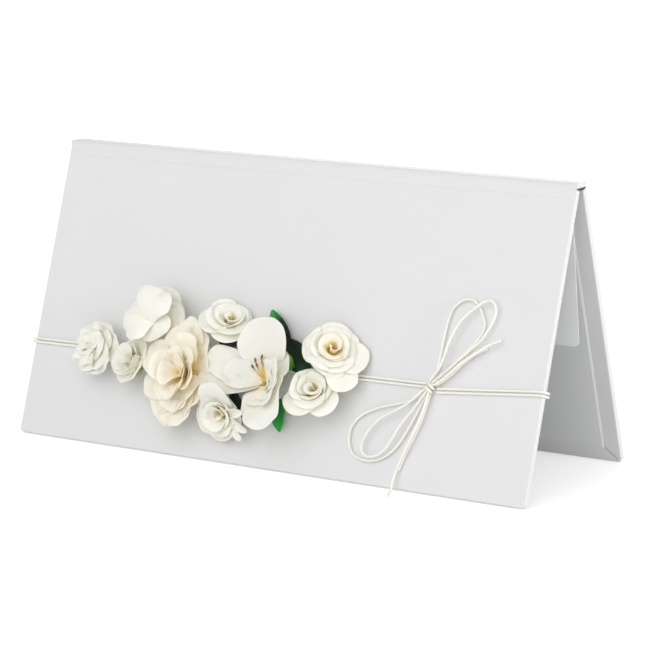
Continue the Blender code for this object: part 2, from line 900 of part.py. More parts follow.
def set_bloom(name, whorls, calyx_radius):
    # Whorls is a list of (suffix, rows in the bloom's frame, closed, material), drawn here to the
    # bloom's radius
    bloom = blooms[name]
    reach = max(place.xy.length for _, rows, _, _ in whorls for row in rows for place in row)
    frame = bloom_frame(bloom) @ Matrix.Scale(bloom.radius / reach, 4)
    placed = [[[frame @ place for place in row] for row in rows] for _, rows, _, _ in whorls]
    for (suffix, _, closed, material), rows in zip(whorls, pressed(name, placed)):
        petal_piece(name + "_" + suffix, rows, closed, material)
    calyx(name + "_calyx", calyx_rings(bloom, calyx_radius))


# Roses, wound from the heart outwards

rose_heart_radius = 0.0007
rose_growth = 0.00105       # how far each turn stands outside the last
heart_break = 0.06          # turns left open between the heart's strip and the petals' strip


def rose(name, heart_share, turns, heart_turns, middle_turns=None, **form):
    bloom = blooms[name]
    shape = RoseShape(turns, heart_share, **form)
    stops = [0.0, heart_turns]
    names = ["heart"]
    if middle_turns is not None:
        stops.append(middle_turns)
        names.append("inner_petals")
    stops.append(turns)
    names.append("outer_petals")
    whorls = []
    for suffix, start, end in zip(names, stops, stops[1:]):
        first = start if start == 0.0 else start + heart_break
        material = cream_petal if suffix == "heart" else white_petal
        whorls.append((suffix, spiral_petals(first, end, bloom, shape), False, material))
    set_bloom(name, whorls, rose_heart_radius + rose_growth)


rose("large_rose", 0.58, 3.6, 1.3, 2.5, last_lean=58.0)
rose("round_rose", 0.60, 3.0, 1.2, 2.1, last_lean=58.0, wave=1.5)
rose("upper_rose", 0.62, 2.9, 1.3, last_lean=52.0)
rose("lower_rose", 0.64, 2.6, 1.1, last_lean=56.0)
rose("rosebud", 0.85, 2.1, 1.0, last_lean=44.0, curl=34.0, notch=0.30)
rose("ball_bloom", 0.70, 2.8, 1.1, last_lean=70.0, petals_per_turn=4.2, notch=0.42, wave=9.0)

# Open blooms, ring over ring

hub_radius = 0.0010
hub_step = 0.0010


def ring_bloom(name, rings, calyx_radius=hub_radius * 2):
    # Rings is a list of (suffix, WhorlShape, material), from the outermost in
    bloom = blooms[name]
    whorls = [(suffix, open_petals(bloom, shape), True, material) for suffix, shape, material in rings]
    set_bloom(name, whorls, calyx_radius)


ring_bloom(
    "open_bloom",
    [
        ("outer_petals", WhorlShape(5, 1.0, 0, 62.0, 76.0, 3.0, notch_share=0.62), white_petal),
        ("inner_petals", WhorlShape(5, 0.76, 1, 34.0, 52.0, 3.0, offset=36.0), white_petal),
    ],
)
ring_bloom(
    "frilled_bloom",
    [
        ("outer_petals", WhorlShape(6, 1.0, 0, 64.0, 80.0, 7.0, notch_share=0.66), white_petal),
        ("inner_petals", WhorlShape(5, 0.76, 1, 40.0, 60.0, 8.0, offset=30.0), white_petal),
        ("heart", WhorlShape(4, 0.48, 2, 14.0, 28.0, 6.0, offset=12.0), gold_petal),
    ],
)
ring_bloom(
    "stamen_bloom",
    [
        ("outer_petals", WhorlShape(3, 1.0, 0, 62.0, 80.0, 3.0, steps=10, rows=4), white_petal),
        (
            "inner_petals",
            WhorlShape(3, 0.84, 1, 46.0, 66.0, 3.0, offset=60.0, steps=10, rows=4),
            white_petal,
        ),
        (
            "stamens",
            WhorlShape(5, 0.46, 2, 10.0, 20.0, 0.0, notch_share=0.25, fullness=0.7),
            gold_petal,
        ),
    ],
)


# Leaves, flat on the cover between the blooms and under them, each folded a little along its midrib

upper_leaf_length = 0.0115
side_leaf_length = 0.0075
lower_leaf_length = 0.0100
long_tucked_length = 0.0110
short_tucked_length = 0.0070
leaf_width = 0.0042
tucked_width = 0.0036
leaf_fold = 0.0006
leaf_paper = 0.0003
leaf_steps = 8


@dataclass
class Leaf:
    length: float
    along_share: float          # of half the cover's length, at its base
    below_share: float          # of the cluster's reach from the band, at its base
    heading: float              # degrees from the spine's direction, upwards
    rise_share: float           # the tip's height above the base, of its length
    width: float = leaf_width


leaves = {
    "upper_leaf": Leaf(upper_leaf_length, 0.037, -0.404, 126.5, 0.12),
    "side_leaf": Leaf(side_leaf_length, 0.080, -0.251, 340.0, 0.07),
    "lower_leaf": Leaf(lower_leaf_length, 0.038, 0.475, 285.0, 0.12),
    "tucked_leaf_1": Leaf(long_tucked_length, -0.232, -0.260, 18.0, 0.02, tucked_width),
    "tucked_leaf_2": Leaf(long_tucked_length, -0.148, 0.436, 302.0, 0.02, tucked_width),
    "tucked_leaf_3": Leaf(short_tucked_length, 0.173, -0.328, 160.0, 0.02, tucked_width),
}


def leaf_rows(leaf):
    rows = []
    heading = math.radians(leaf.heading)
    forward = Vector((math.cos(heading), math.sin(heading)))
    sideways = Vector((-forward.y, forward.x))
    base_along, base_down = place_by_band(leaf.along_share, leaf.below_share)
    for step in range(leaf_steps + 1):
        share = step / leaf_steps
        half_width = leaf.width / 2 * (0.10 + 0.90 * math.sin(math.pi * (0.10 + 0.87 * share)) ** 0.8)
        row = []
        for side in (-1, 0, 1):
            flat = forward * leaf.length * share + sideways * half_width * side
            rise = leaf.length * leaf.rise_share * share ** 2
            out = foot_gap + leaf_paper / 2 + rise + leaf_fold * abs(side)
            row.append(on_cover(base_along + flat.x, base_down - flat.y, out))
        rows.append(row)
    return rows


for leaf_name, leaf in leaves.items():
    petal_piece(leaf_name, leaf_rows(leaf), False, leaf_green, leaf_paper)


# A closed green bud lies on the cover between the upper leaf and the large rose

bud_length = 0.0064
bud_radius = 0.0015
bud_along_share = 0.070         # at its base
bud_below_share = -0.065
bud_heading = 120.0
bud_flute_share = 0.10
bud_petals = 5
bud_sides = 15
bud_rings = 7


def bud_piece(name):
    # Rings of points along the bud, swelling below its middle and closed at both ends
    heading = math.radians(bud_heading)
    forward = Vector((math.cos(heading), 0.0, math.sin(heading)))
    sideways = Vector((-forward.z, 0.0, forward.x))
    outwards = Vector((0.0, -1.0, 0.0))
    along, down = place_by_band(bud_along_share, bud_below_share)
    base = on_cover(along, down, foot_gap + bud_radius * (1 + bud_flute_share))
    mesh = bpy.data.meshes.new(name)
    shape = bmesh.new()
    rings = []
    for ring in range(bud_rings):
        share = (ring + 0.5) / bud_rings
        swell = math.sin(math.pi * share ** 0.8)
        places = []
        for side in range(bud_sides):
            angle = math.tau * side / bud_sides
            flute = 1 + bud_flute_share * math.cos(bud_petals * angle + math.pi * share)
            radius = bud_radius * swell * flute
            across = sideways * math.cos(angle) + outwards * math.sin(angle)
            places.append(shape.verts.new(base + forward * bud_length * share + across * radius))
        rings.append(places)
    for first, second in zip(rings, rings[1:]):
        for side in range(bud_sides):
            after = (side + 1) % bud_sides
            shape.faces.new((first[side], first[after], second[after], second[side]))
    shape.faces.new(rings[0])
    shape.faces.new(rings[-1])
    bmesh.ops.recalc_face_normals(shape, faces=shape.faces)
    shape.to_mesh(mesh)
    shape.free()
    piece = add_object(name, mesh, calyx_green, front_crease)
    smooth(piece, 50.0)


bud_piece("green_bud")
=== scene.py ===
# Money gift wallet: a folder of paper-covered boards standing as a tent, with a cluster of paper
# blooms and a twine bow on its front cover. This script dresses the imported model.

import json
import math
import random

import bpy
from mathutils import Matrix, Vector, noise


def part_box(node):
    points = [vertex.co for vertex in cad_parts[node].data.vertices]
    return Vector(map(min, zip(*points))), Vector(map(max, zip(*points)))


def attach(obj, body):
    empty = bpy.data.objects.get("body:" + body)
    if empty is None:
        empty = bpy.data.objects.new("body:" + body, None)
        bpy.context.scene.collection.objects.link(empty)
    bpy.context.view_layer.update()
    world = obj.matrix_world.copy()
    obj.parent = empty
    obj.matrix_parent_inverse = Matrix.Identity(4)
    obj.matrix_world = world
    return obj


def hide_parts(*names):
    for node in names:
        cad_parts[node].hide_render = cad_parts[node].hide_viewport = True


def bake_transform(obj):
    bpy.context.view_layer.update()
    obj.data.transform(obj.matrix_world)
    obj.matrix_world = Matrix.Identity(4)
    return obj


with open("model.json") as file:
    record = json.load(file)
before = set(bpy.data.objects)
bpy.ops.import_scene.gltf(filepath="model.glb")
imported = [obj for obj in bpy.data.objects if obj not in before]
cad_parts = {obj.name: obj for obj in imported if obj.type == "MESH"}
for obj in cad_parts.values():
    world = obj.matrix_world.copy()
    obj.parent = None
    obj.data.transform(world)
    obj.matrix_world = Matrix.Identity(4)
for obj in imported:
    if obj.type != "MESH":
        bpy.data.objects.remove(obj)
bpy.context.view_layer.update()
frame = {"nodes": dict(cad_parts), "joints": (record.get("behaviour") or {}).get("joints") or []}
nodes = frame["nodes"]
print("frame loaded,", len(nodes), "nodes")


# Where things are: places on the front cover are (along, down, out), in metres, as on the bench

tent = {
    "lean": 19.0,            # degrees, each cover from upright
    "flapLean": 8.0,         # the note flap's, towards the back cover
    "halfLength": 0.0925,
    "turnedDepth": 0.0021,   # what the twine passes at a cover's edge
    "coverDepth": 0.00255,   # and as far in as the twine runs over the lining
}


def jointPlace(name):
    return next(Vector(joint["pos_m"]) for joint in frame["joints"] if joint["name"] == name)


frontCrease = jointPlace("front_hinge")
backCrease = jointPlace("back_hinge")
coverFrame = Matrix.Translation(frontCrease) @ Matrix.Rotation(math.radians(-tent["lean"]), 4, "X")


def onCover(along, down, out):
    return coverFrame @ Vector((along, -out, -down))


# Camera: the photograph's own place, looking down at the tent from its right

cameraView = {
    "distance": 0.872,
    "aim": (0.00266, 0.0040, 0.04072),
    "across": 31.28,         # degrees, round to the right
    "above": 11.51,
    "lens": 153.4,
    "sensor": 36,
    "seesTo": 20,
}


def setCamera():
    across = math.radians(cameraView["across"])
    above = math.radians(cameraView["above"])
    level = math.cos(above)
    away = Vector((math.sin(across) * level, -math.cos(across) * level, math.sin(above)))
    bpy.ops.object.camera_add(
        location=Vector(cameraView["aim"]) + away * cameraView["distance"],
        rotation=(math.radians(90) - above, 0, across),
    )
    camera = bpy.context.object
    camera.name = "photoCamera"
    camera.data.lens = cameraView["lens"]
    camera.data.sensor_width = cameraView["sensor"]
    camera.data.clip_end = cameraView["seesTo"]
    bpy.context.scene.camera = camera


setCamera()
print("camera set")


# Bench helpers

touching = 1e-6              # metres: places no further apart than this are one


def ease(share):
    # a smooth step from 0 to 1, level before and after
    share = min(1, max(0, share))
    return share * share * (3 - 2 * share)


def easeFrom(share, start):
    return ease((share - start) / (1 - start))


def deselectAll():
    bpy.ops.object.select_all(action="DESELECT")


def pickOnly(piece):
    deselectAll()
    piece.select_set(True)
    bpy.context.view_layer.objects.active = piece


def applyModifiers(piece):
    pickOnly(piece)
    for modifier in list(piece.modifiers):
        bpy.ops.object.modifier_apply(modifier=modifier.name)


def turnFacesOut(piece, mergeWithin=0.0):
    pickOnly(piece)
    bpy.ops.object.mode_set(mode="EDIT")
    bpy.ops.mesh.select_all(action="SELECT")
    if mergeWithin:
        bpy.ops.mesh.remove_doubles(threshold=mergeWithin)
    bpy.ops.mesh.normals_make_consistent(inside=False)
    bpy.ops.object.mode_set(mode="OBJECT")


def flatPaper(name, columns, rows):
    # a square sheet of paper about the origin, one unit to each side, with its UV map
    bpy.ops.mesh.primitive_grid_add(
        x_subdivisions=columns, y_subdivisions=rows, size=2, calc_uvs=True
    )
    sheet = bpy.context.object
    sheet.name = name
    return sheet


def joinPieces(pieces, name):
    deselectAll()
    for piece in pieces:
        piece.select_set(True)
    bpy.context.view_layer.objects.active = pieces[0]
    if len(pieces) > 1:
        bpy.ops.object.join()
    joined = bpy.context.view_layer.objects.active
    joined.name = name
    joined.data.name = name
    return joined


def dress(piece, material, slotName, body, *replaced):
    piece.data.materials.clear()
    piece.data.materials.append(material)
    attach(piece, body)
    if replaced:
        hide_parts(*replaced)
    return piece


# Finishes: every one reads Object coordinates, or the piece's own UV map where it follows the piece

def setInputs(node, values):
    for name, value in values.items():
        node.inputs[name].default_value = value


def startMaterial(name, surface):
    material = bpy.data.materials.new(name)
    material.use_nodes = True
    shader = material.node_tree.nodes["Principled BSDF"]
    setInputs(shader, surface)
    return material, material.node_tree, shader


def addNode(tree, kind, **settings):
    node = tree.nodes.new(kind)
    for key, value in settings.items():
        setattr(node, key, value)
    return node


def mapPlace(tree):
    return addNode(tree, "ShaderNodeUVMap", uv_map="UVMap").outputs["UV"]


def benchPlace(tree):
    return addNode(tree, "ShaderNodeTexCoord").outputs["Object"]


def stretchedNoise(tree, source, scale, turn=(0, 0, 0), detail=2.0):
    # noise drawn out along one way: the scale is in cells to the metre along each axis
    mapping = addNode(tree, "ShaderNodeMapping")
    setInputs(mapping, {"Rotation": [math.radians(angle) for angle in turn], "Scale": scale})
    grain = addNode(tree, "ShaderNodeTexNoise")
    setInputs(grain, {"Scale": 1.0, "Detail": detail})
    tree.links.new(source, mapping.inputs["Vector"])
    tree.links.new(mapping.outputs["Vector"], grain.inputs["Vector"])
    return grain.outputs["Fac"]


def colourRamp(tree, source, stops):
    ramp = addNode(tree, "ShaderNodeValToRGB")
    elements = ramp.color_ramp.elements
    while len(elements) < len(stops):
        elements.new(0.5)
    for element, (position, colour) in zip(elements, stops):
        element.position = position
        element.color = (*colour, 1.0)
    tree.links.new(source, ramp.inputs["Fac"])
    return ramp.outputs["Color"]


def bump(tree, shader, height, strength, distance):
    relief = addNode(tree, "ShaderNodeBump")
    setInputs(relief, {"Strength": strength, "Distance": distance})
    tree.links.new(height, relief.inputs["Height"])
    tree.links.new(relief.outputs["Normal"], shader.inputs["Normal"])


def feed(tree, socket, value):
    if isinstance(value, bpy.types.NodeSocket):
        tree.links.new(value, socket)
    else:
        socket.default_value = value


def mixFloats(tree, kind, first, second):
    join = addNode(tree, "ShaderNodeMath", operation=kind)
    feed(tree, join.inputs[0], first)
    feed(tree, join.inputs[1], second)
    return join.outputs[0]


def mixColours(tree, kind, share, first, second):
    join = addNode(tree, "ShaderNodeMix", data_type="RGBA", blend_type=kind)
    for index, value in ((0, share), (6, first), (7, second)):   # a Mix node's colours are 6 and 7
        feed(tree, join.inputs[index], value)
    return join.outputs[2]


def axisOf(tree, place, axis):
    split = addNode(tree, "ShaderNodeSeparateXYZ")
    tree.links.new(place, split.inputs[0])
    return split.outputs[axis]


def layered(tree, *patterns):
    # two patterns laid over each other, each given with its strength
    parts = [mixFloats(tree, "MULTIPLY", pattern, strength) for pattern, strength in patterns]
    return mixFloats(tree, "ADD", *parts)


def evenNoise(tree, place, cells, detail=2.0):
    return stretchedNoise(tree, place, (cells, cells, cells), detail=detail)


def dyePlace(tree, uvPlace, objectPlace, cells, spread):
    # how far along the piece, from its base at 0 to its rim at 1, with the dye's blots
    blot = mixFloats(tree, "MULTIPLY", evenNoise(tree, objectPlace, cells), spread)
    along = mixFloats(tree, "ADD", axisOf(tree, uvPlace, "Y"), blot)
    return mixFloats(tree, "SUBTRACT", along, spread / 2)


paper = {
    "threadFine": 3200,      # threads to the metre, across a thread
    "threadLong": 170,       # and along it
    "threadHeight": 0.00003,
    "cloudCells": 55,
    "weaveShare": 0.30,      # of the tone
    "cloudShare": 0.40,
    "shadeAt": 0.30,
    "lightAt": 0.70,
    "coatRoughness": 0.35,
    "highlightWidth": 0.0007,      # how far in from a lining's cut end the painted highlight reaches
    "highlightTone": (0.96, 0.965, 0.965),
}


# painted highlight: a pale band along a lining's cut ends, for the light that its raised edge catches
def paintedEdgeHighlight(tree, place, toned, edgeAt):
    along = mixFloats(tree, "ABSOLUTE", axisOf(tree, place, "X"), 0.0)
    inHighlight = mixFloats(tree, "GREATER_THAN", along, edgeAt - paper["highlightWidth"])
    return mixColours(tree, "MIX", inHighlight, toned, (*paper["highlightTone"], 1))


def paperFinish(name, light, shade, roughness, lean, relief, coat=0.0, edgeAt=0.0):
    # a coated paper with a linen grain pressed into it, running with the cover that it lies on;
    # edgeAt is where its cut ends are, as a distance from the cover's middle: they get a painted
    # highlight
    coating = {"Coat Weight": coat, "Coat Roughness": paper["coatRoughness"]}
    material, tree, shader = startMaterial(name, {"Roughness": roughness, **coating})
    place = benchPlace(tree)
    turn = (lean, 0, 0)
    fine, long = paper["threadFine"], paper["threadLong"]
    weft = stretchedNoise(tree, place, (long, fine, fine), turn)
    warp = stretchedNoise(tree, place, (fine, long, long), turn)
    weave = mixFloats(tree, "ADD", weft, warp)
    cloud = stretchedNoise(tree, place, (paper["cloudCells"],) * 3, turn, detail=3.0)
    tone = layered(tree, (weave, paper["weaveShare"]), (cloud, paper["cloudShare"]))
    toned = colourRamp(tree, tone, [(paper["shadeAt"], shade), (paper["lightAt"], light)])
    if edgeAt:
        toned = paintedEdgeHighlight(tree, place, toned, edgeAt)
    tree.links.new(toned, shader.inputs["Base Color"])
    bump(tree, shader, weave, relief, paper["threadHeight"])
    return material


# Each paper has its light tone, its shaded tone, its roughness, its lean, its relief, and more

pearl = {"coat": 0.10}
highlightedEnds = {"edgeAt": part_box("back_lining")[1][0]}
# painted shade: the front and back linings are darker than the spine's lining, for the shade inside the
# tent
lining = ((0.76, 0.765, 0.765), (0.735, 0.74, 0.74), 0.62)
frontLean, backLean = tent["lean"], -tent["lean"]
paperRecipes = {
    "frontPearlPaper": ((0.74, 0.74, 0.747), (0.714, 0.714, 0.724), 0.48, frontLean, 0.5, pearl),
    "backPearlPaper": ((0.735, 0.735, 0.742), (0.709, 0.709, 0.719), 0.48, backLean, 0.5, pearl),
    "spinePearlPaper": ((0.745, 0.745, 0.750), (0.718, 0.718, 0.726), 0.50, 0, 0.4, pearl),
    "frontLiningPaper": (*lining, frontLean, 0.25, highlightedEnds),
    "backLiningPaper": (*lining, backLean, 0.25, highlightedEnds),
    "spineLiningPaper": ((0.80, 0.805, 0.805), (0.77, 0.775, 0.775), 0.62, 0, 0.25, {}),
    "noteFlapPaper": ((0.94, 0.945, 0.945), (0.91, 0.915, 0.915), 0.60, -tent["flapLean"], 0.25, {}),
    "greyBoard": ((0.50, 0.48, 0.44), (0.36, 0.34, 0.31), 0.85, 0, 1.0, {}),
}
paperFinishes = {
    name: paperFinish(name, *recipe, **more) for name, (*recipe, more) in paperRecipes.items()
}
nodePapers = {
    "front_wrap": "frontPearlPaper",
    "back_wrap": "backPearlPaper",
    "spine_wrap": "spinePearlPaper",
    "front_lining": "frontLiningPaper",
    "back_lining": "backLiningPaper",
    "spine_lining": "spineLiningPaper",
    "note_flap": "noteFlapPaper",
    "front_board": "greyBoard",
    "back_board": "greyBoard",
    "spine_card": "greyBoard",
}
for nodeName, paperName in nodePapers.items():
    nodes[nodeName].material_slots[0].material = paperFinishes[paperName]


# Hinge paper: the covering runs on over each crease, from the spine down onto the cover

hinge = {
    "thickness": 0.00008,
    "stand": 0.00006,        # above the paper that it is glued to
    "upReach": 0.0011,       # onto the spine's side
    "downReach": 0.0030,     # onto the cover
    "bend": 0.0008,          # what the turn over the crease takes up
    "blendReach": 0.0006,    # from the crease to where it moves with the spine, or the cover, alone
    "columns": 40,
    "rows": 14,
    "endInset": 0.0002,
    "smoothAngle": 40,
}


def hingePaper(name, crease, side, material):
    # side is -1 on the front and +1 on the back; rows run down the strip, over the crease
    lean = math.radians(tent["lean"])
    outSpine = Vector((0, side, 0))
    downCover = Vector((0, side * math.sin(lean), -math.cos(lean)))
    outCover = Vector((0, side * math.cos(lean), math.sin(lean)))
    strip = flatPaper(name, hinge["columns"], hinge["rows"])
    halfLength = tent["halfLength"] - hinge["endInset"]
    for vertex in strip.data.vertices:
        along = vertex.co.x * halfLength
        run = (1 - vertex.co.y) / 2 * (hinge["upReach"] + hinge["downReach"]) - hinge["upReach"]
        onSpine = outSpine * hinge["stand"] + Vector((0, 0, -run))
        onFace = outCover * hinge["stand"] + downCover * run
        bent = onSpine.lerp(onFace, ease(run / hinge["bend"] + 0.5))
        vertex.co = crease + bent + Vector((along, 0, 0))
    turnFacesOut(strip)
    thick = strip.modifiers.new("paper", "SOLIDIFY")
    thick.thickness = hinge["thickness"]
    thick.offset = 0
    applyModifiers(strip)
    bpy.ops.object.shade_smooth_by_angle(angle=math.radians(hinge["smoothAngle"]))
    strip.data.materials.append(material)
    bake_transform(strip)


hingePaper("front_hinge_paper", frontCrease, -1, paperFinishes["frontPearlPaper"])
hingePaper("back_hinge_paper", backCrease, 1, paperFinishes["backPearlPaper"])
print("covers papered")


# Twine: waxed three-ply cord, laid as the model's routes run

twine = {
    "radius": 0.0004,
    "gap": 0.0003,
    "plies": 3,
    "lay": 0.0028,           # along the cord for one turn of a ply
    "plyDepth": 0.10,        # how far the groove between two plies goes in, of the radius
    "sidesPerPly": 6,
    "spacing": 0.00024,
    "mapScale": 10,          # of its UV map, to the metre
    "fibreCells": (40, 900, 1),
    "fibreTones": [(0.25, (0.905, 0.875, 0.785)), (0.70, (0.935, 0.91, 0.835))],
    "fibreRelief": (0.4, 0.00006),
    "surface": {
        "Roughness": 0.48, "Sheen Weight": 0.15, "Subsurface Weight": 0.60,
        "Subsurface Radius": (1.0, 0.9, 0.8), "Subsurface Scale": 0.0008,
    },
}


def twineFinish():
    material, tree, shader = startMaterial("ivoryTwine", twine["surface"])
    fibre = stretchedNoise(tree, mapPlace(tree), twine["fibreCells"], detail=3.0)
    tone = colourRamp(tree, fibre, twine["fibreTones"])
    tree.links.new(tone, shader.inputs["Base Color"])
    bump(tree, shader, fibre, *twine["fibreRelief"])
    return material


ivoryTwine = twineFinish()


def smoothRoute(points, spacing):
    # points about one spacing apart on a smooth curve through the route's own points
    padded = [2 * points[0] - points[1], *points, 2 * points[-1] - points[-2]]
    path = []
    for index in range(1, len(padded) - 2):
        before, start, end, after = padded[index - 1:index + 3]
        steps = max(1, round((end - start).length / spacing))
        for step in range(steps):
            t = step / steps
            path.append(
                0.5 * (
                    2 * start
                    + (end - before) * t
                    + (2 * before - 5 * start + 4 * end - after) * t ** 2
                    + (3 * start - before - 3 * end + after) * t ** 3
                )
            )
    path.append(points[-1])
    return path


def pathLength(path):
    return sum((after - before).length for before, after in zip(path, path[1:]))


def twistedCord(name, path, radiusAt=None):
    # a tube with the plies' lobes in its section, which turns as it runs along the path
    sides = twine["plies"] * twine["sidesPerPly"]
    tangents = []
    for index in range(len(path)):
        before = path[max(0, index - 1)]
        after = path[min(len(path) - 1, index + 1)]
        tangents.append((after - before).normalized())
    normal = tangents[0].orthogonal().normalized()
    places, faces, along = [], [], [0.0]
    for index, place in enumerate(path):
        if index:
            normal = (tangents[index - 1].rotation_difference(tangents[index])) @ normal
            along.append(along[-1] + (place - path[index - 1]).length)
        binormal = tangents[index].cross(normal).normalized()
        turn = math.tau * along[-1] / twine["lay"]
        thickness = twine["radius"] * (radiusAt(place) if radiusAt else 1.0)
        for side in range(sides):
            angle = math.tau * side / sides
            lobe = 1 - twine["plyDepth"] * (0.5 - 0.5 * math.cos(twine["plies"] * angle))
            facing = normal * math.cos(angle + turn) + binormal * math.sin(angle + turn)
            places.append(place + facing * thickness * lobe)
    for ring in range(len(path) - 1):
        for side in range(sides):
            after = (side + 1) % sides
            low, high = ring * sides, (ring + 1) * sides
            faces.append((low + side, low + after, high + after, high + side))
    faces.append(tuple(reversed(range(sides))))
    last = (len(path) - 1) * sides
    faces.append(tuple(last + side for side in range(sides)))
    mesh = bpy.data.meshes.new(name)
    mesh.from_pydata(places, [], faces)
    uvLayer = mesh.uv_layers.new(name="UVMap")
    for polygon in mesh.polygons[:-2]:
        ring, side = divmod(polygon.index, sides)
        corners = ((side, ring), (side + 1, ring), (side + 1, ring + 1), (side, ring + 1))
        for loop, (across, step) in zip(polygon.loop_indices, corners):
            uvLayer.data[loop].uv = (across / sides, along[step] * twine["mapScale"])
    mesh.shade_smooth()
    cord = bpy.data.objects.new(name, mesh)
    bpy.context.collection.objects.link(cord)
    return cord


# The knot: a winding of two turns across the bow, along the bow's own slant

knot = {
    "along": 0.0559,
    "down": 0.0642,
    "slant": 60.0,
    "turns": 2,
    "windingRadius": 0.00115,
    "turnGap": 0.0005,
    "skew": 0.0006,
    "steps": 40,
}
faceOut = twine["gap"] + twine["radius"]
twinePitch = 2 * twine["radius"] + twine["gap"]
knotPitch = 2 * twine["radius"] + knot["turnGap"]
knotOut = faceOut + knot["windingRadius"]
knotEnd = knot["turns"] * knotPitch / 2 + twine["radius"] + twine["gap"]
knotSide = knot["windingRadius"] + twine["radius"] + twine["gap"]
slantAlong = math.cos(math.radians(knot["slant"]))
slantUp = math.sin(math.radians(knot["slant"]))


def byKnot(reach, across, out):
    along = knot["along"] + reach * slantAlong + across * slantUp
    down = knot["down"] - reach * slantUp + across * slantAlong
    return onCover(along, down, out)


def knotPath():
    count = knot["turns"] * knot["steps"]
    path = []
    for step in range(count + 1):
        angle = math.tau * step / knot["steps"]
        reach = knotPitch * knot["turns"] * (step / count - 0.5)
        radius = knot["windingRadius"]
        path.append(byKnot(reach, radius * math.sin(angle), knotOut - radius * math.cos(angle)))
    return path


def layTwine(name, path, *replaced, radiusAt=None):
    return dress(twistedCord(name, path, radiusAt), ivoryTwine, "ivory_twine", "front_cover", *replaced)


layTwine("bow_knot_winding", knotPath(), "bow_knot")

# The band: two strands from the knot's left side round the cover and back to its right side

band = {
    "leftDown": 0.0649,
    "rightDown": 0.0612,
    "edgeEase": 0.0016,      # how far from the cover's end the strand starts to turn
    "edgeShares": (0.3, 0.8),
}
insideOut = -(tent["coverDepth"] + twine["gap"] + twine["radius"])
edgeAlong = tent["halfLength"] + twine["gap"] + twine["radius"]


def roundTheEdge(side, down):
    turn = 3 * twine["radius"] / 5
    places = [
        (tent["halfLength"] - band["edgeEase"], faceOut),
        (tent["halfLength"] + turn / 2, faceOut - turn / 6),
        (edgeAlong - turn / 2, turn),
        *((edgeAlong, -tent["turnedDepth"] * share) for share in band["edgeShares"]),
        (edgeAlong - turn / 2, -tent["turnedDepth"] - turn),
        (tent["halfLength"] + turn / 2, insideOut + turn / 2),
        (tent["halfLength"] - band["edgeEase"], insideOut),
    ]
    return [onCover(side * along, down, out) for along, out in places]


def bandStrand(name, step, replaced):
    offset = (step - 0.5) * twinePitch
    places = [onCover(knot["along"] - knotSide, knot["down"] + offset - knot["skew"], faceOut)]
    places += roundTheEdge(-1, band["leftDown"] + step * twinePitch)
    places += reversed(roundTheEdge(1, band["rightDown"] + step * twinePitch))
    places.append(onCover(knot["along"] + knotSide, knot["down"] + offset + knot["skew"], faceOut))
    path = []
    for start, end in zip(places, places[1:]):
        steps = max(1, round((end - start).length / twine["spacing"]))
        path += [start.lerp(end, share / steps) for share in range(steps)]
    path.append(places[-1])
    layTwine(name, path, replaced)


bandStrand("upper_band_strand", 0, "twine_band_upper")
bandStrand("lower_band_strand", 1, "twine_band_lower")

# The bow: four cords, each one loop and the tail that it goes on into through the knot

bow = {
    "rowShare": 0.55,        # each row's place from the knot's middle, of the pitch
    "squeeze": 0.66,         # the cords' thickness inside the knot, of their own
    "squeezeReach": 0.0024,  # from the knot's middle, along the bow
    "inside": 0.00036,       # how far inside the knot each cord keeps from its middle
    "startReach": 0.0004,
    "turnReach": 0.0006,
    "leaveReach": 0.0010,
    "easeShare": 0.6,
}
lowerRow = knotOut - bow["rowShare"] * twinePitch
upperRow = knotOut + bow["rowShare"] * twinePitch

upperLoop1 = [
    (0.0570, 0.0575, 0.0012), (0.0572, 0.0519, 0.0011), (0.0576, 0.0445, 0.0010),
    (0.0589, 0.0394, 0.0010), (0.0618, 0.0368, 0.0010), (0.0649, 0.0365, 0.0010),
    (0.0673, 0.0383, 0.0010), (0.0691, 0.0410, 0.0010), (0.0701, 0.0437, 0.0010),
    (0.0692, 0.0469, 0.0010), (0.0668, 0.0506, 0.0010), (0.0632, 0.0548, 0.0011),
    (0.0603, 0.0586, 0.0012),
]
upperLoop2 = [
    (0.0586, 0.0575, 0.0029), (0.0602, 0.0498, 0.0029), (0.0624, 0.0440, 0.0027),
    (0.0653, 0.0402, 0.0025), (0.0678, 0.0380, 0.0024), (0.0704, 0.0363, 0.0022),
    (0.0725, 0.0368, 0.0020), (0.0735, 0.0390, 0.0018), (0.0731, 0.0418, 0.0017),
    (0.0721, 0.0446, 0.0018), (0.0700, 0.0486, 0.0021), (0.0664, 0.0528, 0.0025),
    (0.0626, 0.0569, 0.0028),
]
upperTail1 = [
    (0.0620, 0.0595, 0.0030), (0.0652, 0.0560, 0.0030), (0.0690, 0.0528, 0.0028),
    (0.0730, 0.0497, 0.0025), (0.0769, 0.0476, 0.0022),
]
upperTail2 = [
    (0.0616, 0.0598, 0.0012), (0.0648, 0.0560, 0.0011), (0.0686, 0.0526, 0.0010),
    (0.0722, 0.0504, 0.0009),
]
lowerLoop1 = [
    (0.0506, 0.0684, 0.0012), (0.0456, 0.0703, 0.0011), (0.0402, 0.0719, 0.0010),
    (0.0351, 0.0743, 0.0010), (0.0319, 0.0772, 0.0010), (0.0306, 0.0806, 0.0010),
    (0.0310, 0.0842, 0.0009), (0.0329, 0.0872, 0.0009), (0.0364, 0.0886, 0.0009),
    (0.0402, 0.0884, 0.0009), (0.0441, 0.0866, 0.0009), (0.0473, 0.0834, 0.0010),
    (0.0493, 0.0798, 0.0010), (0.0512, 0.0756, 0.0011), (0.0529, 0.0712, 0.0012),
]
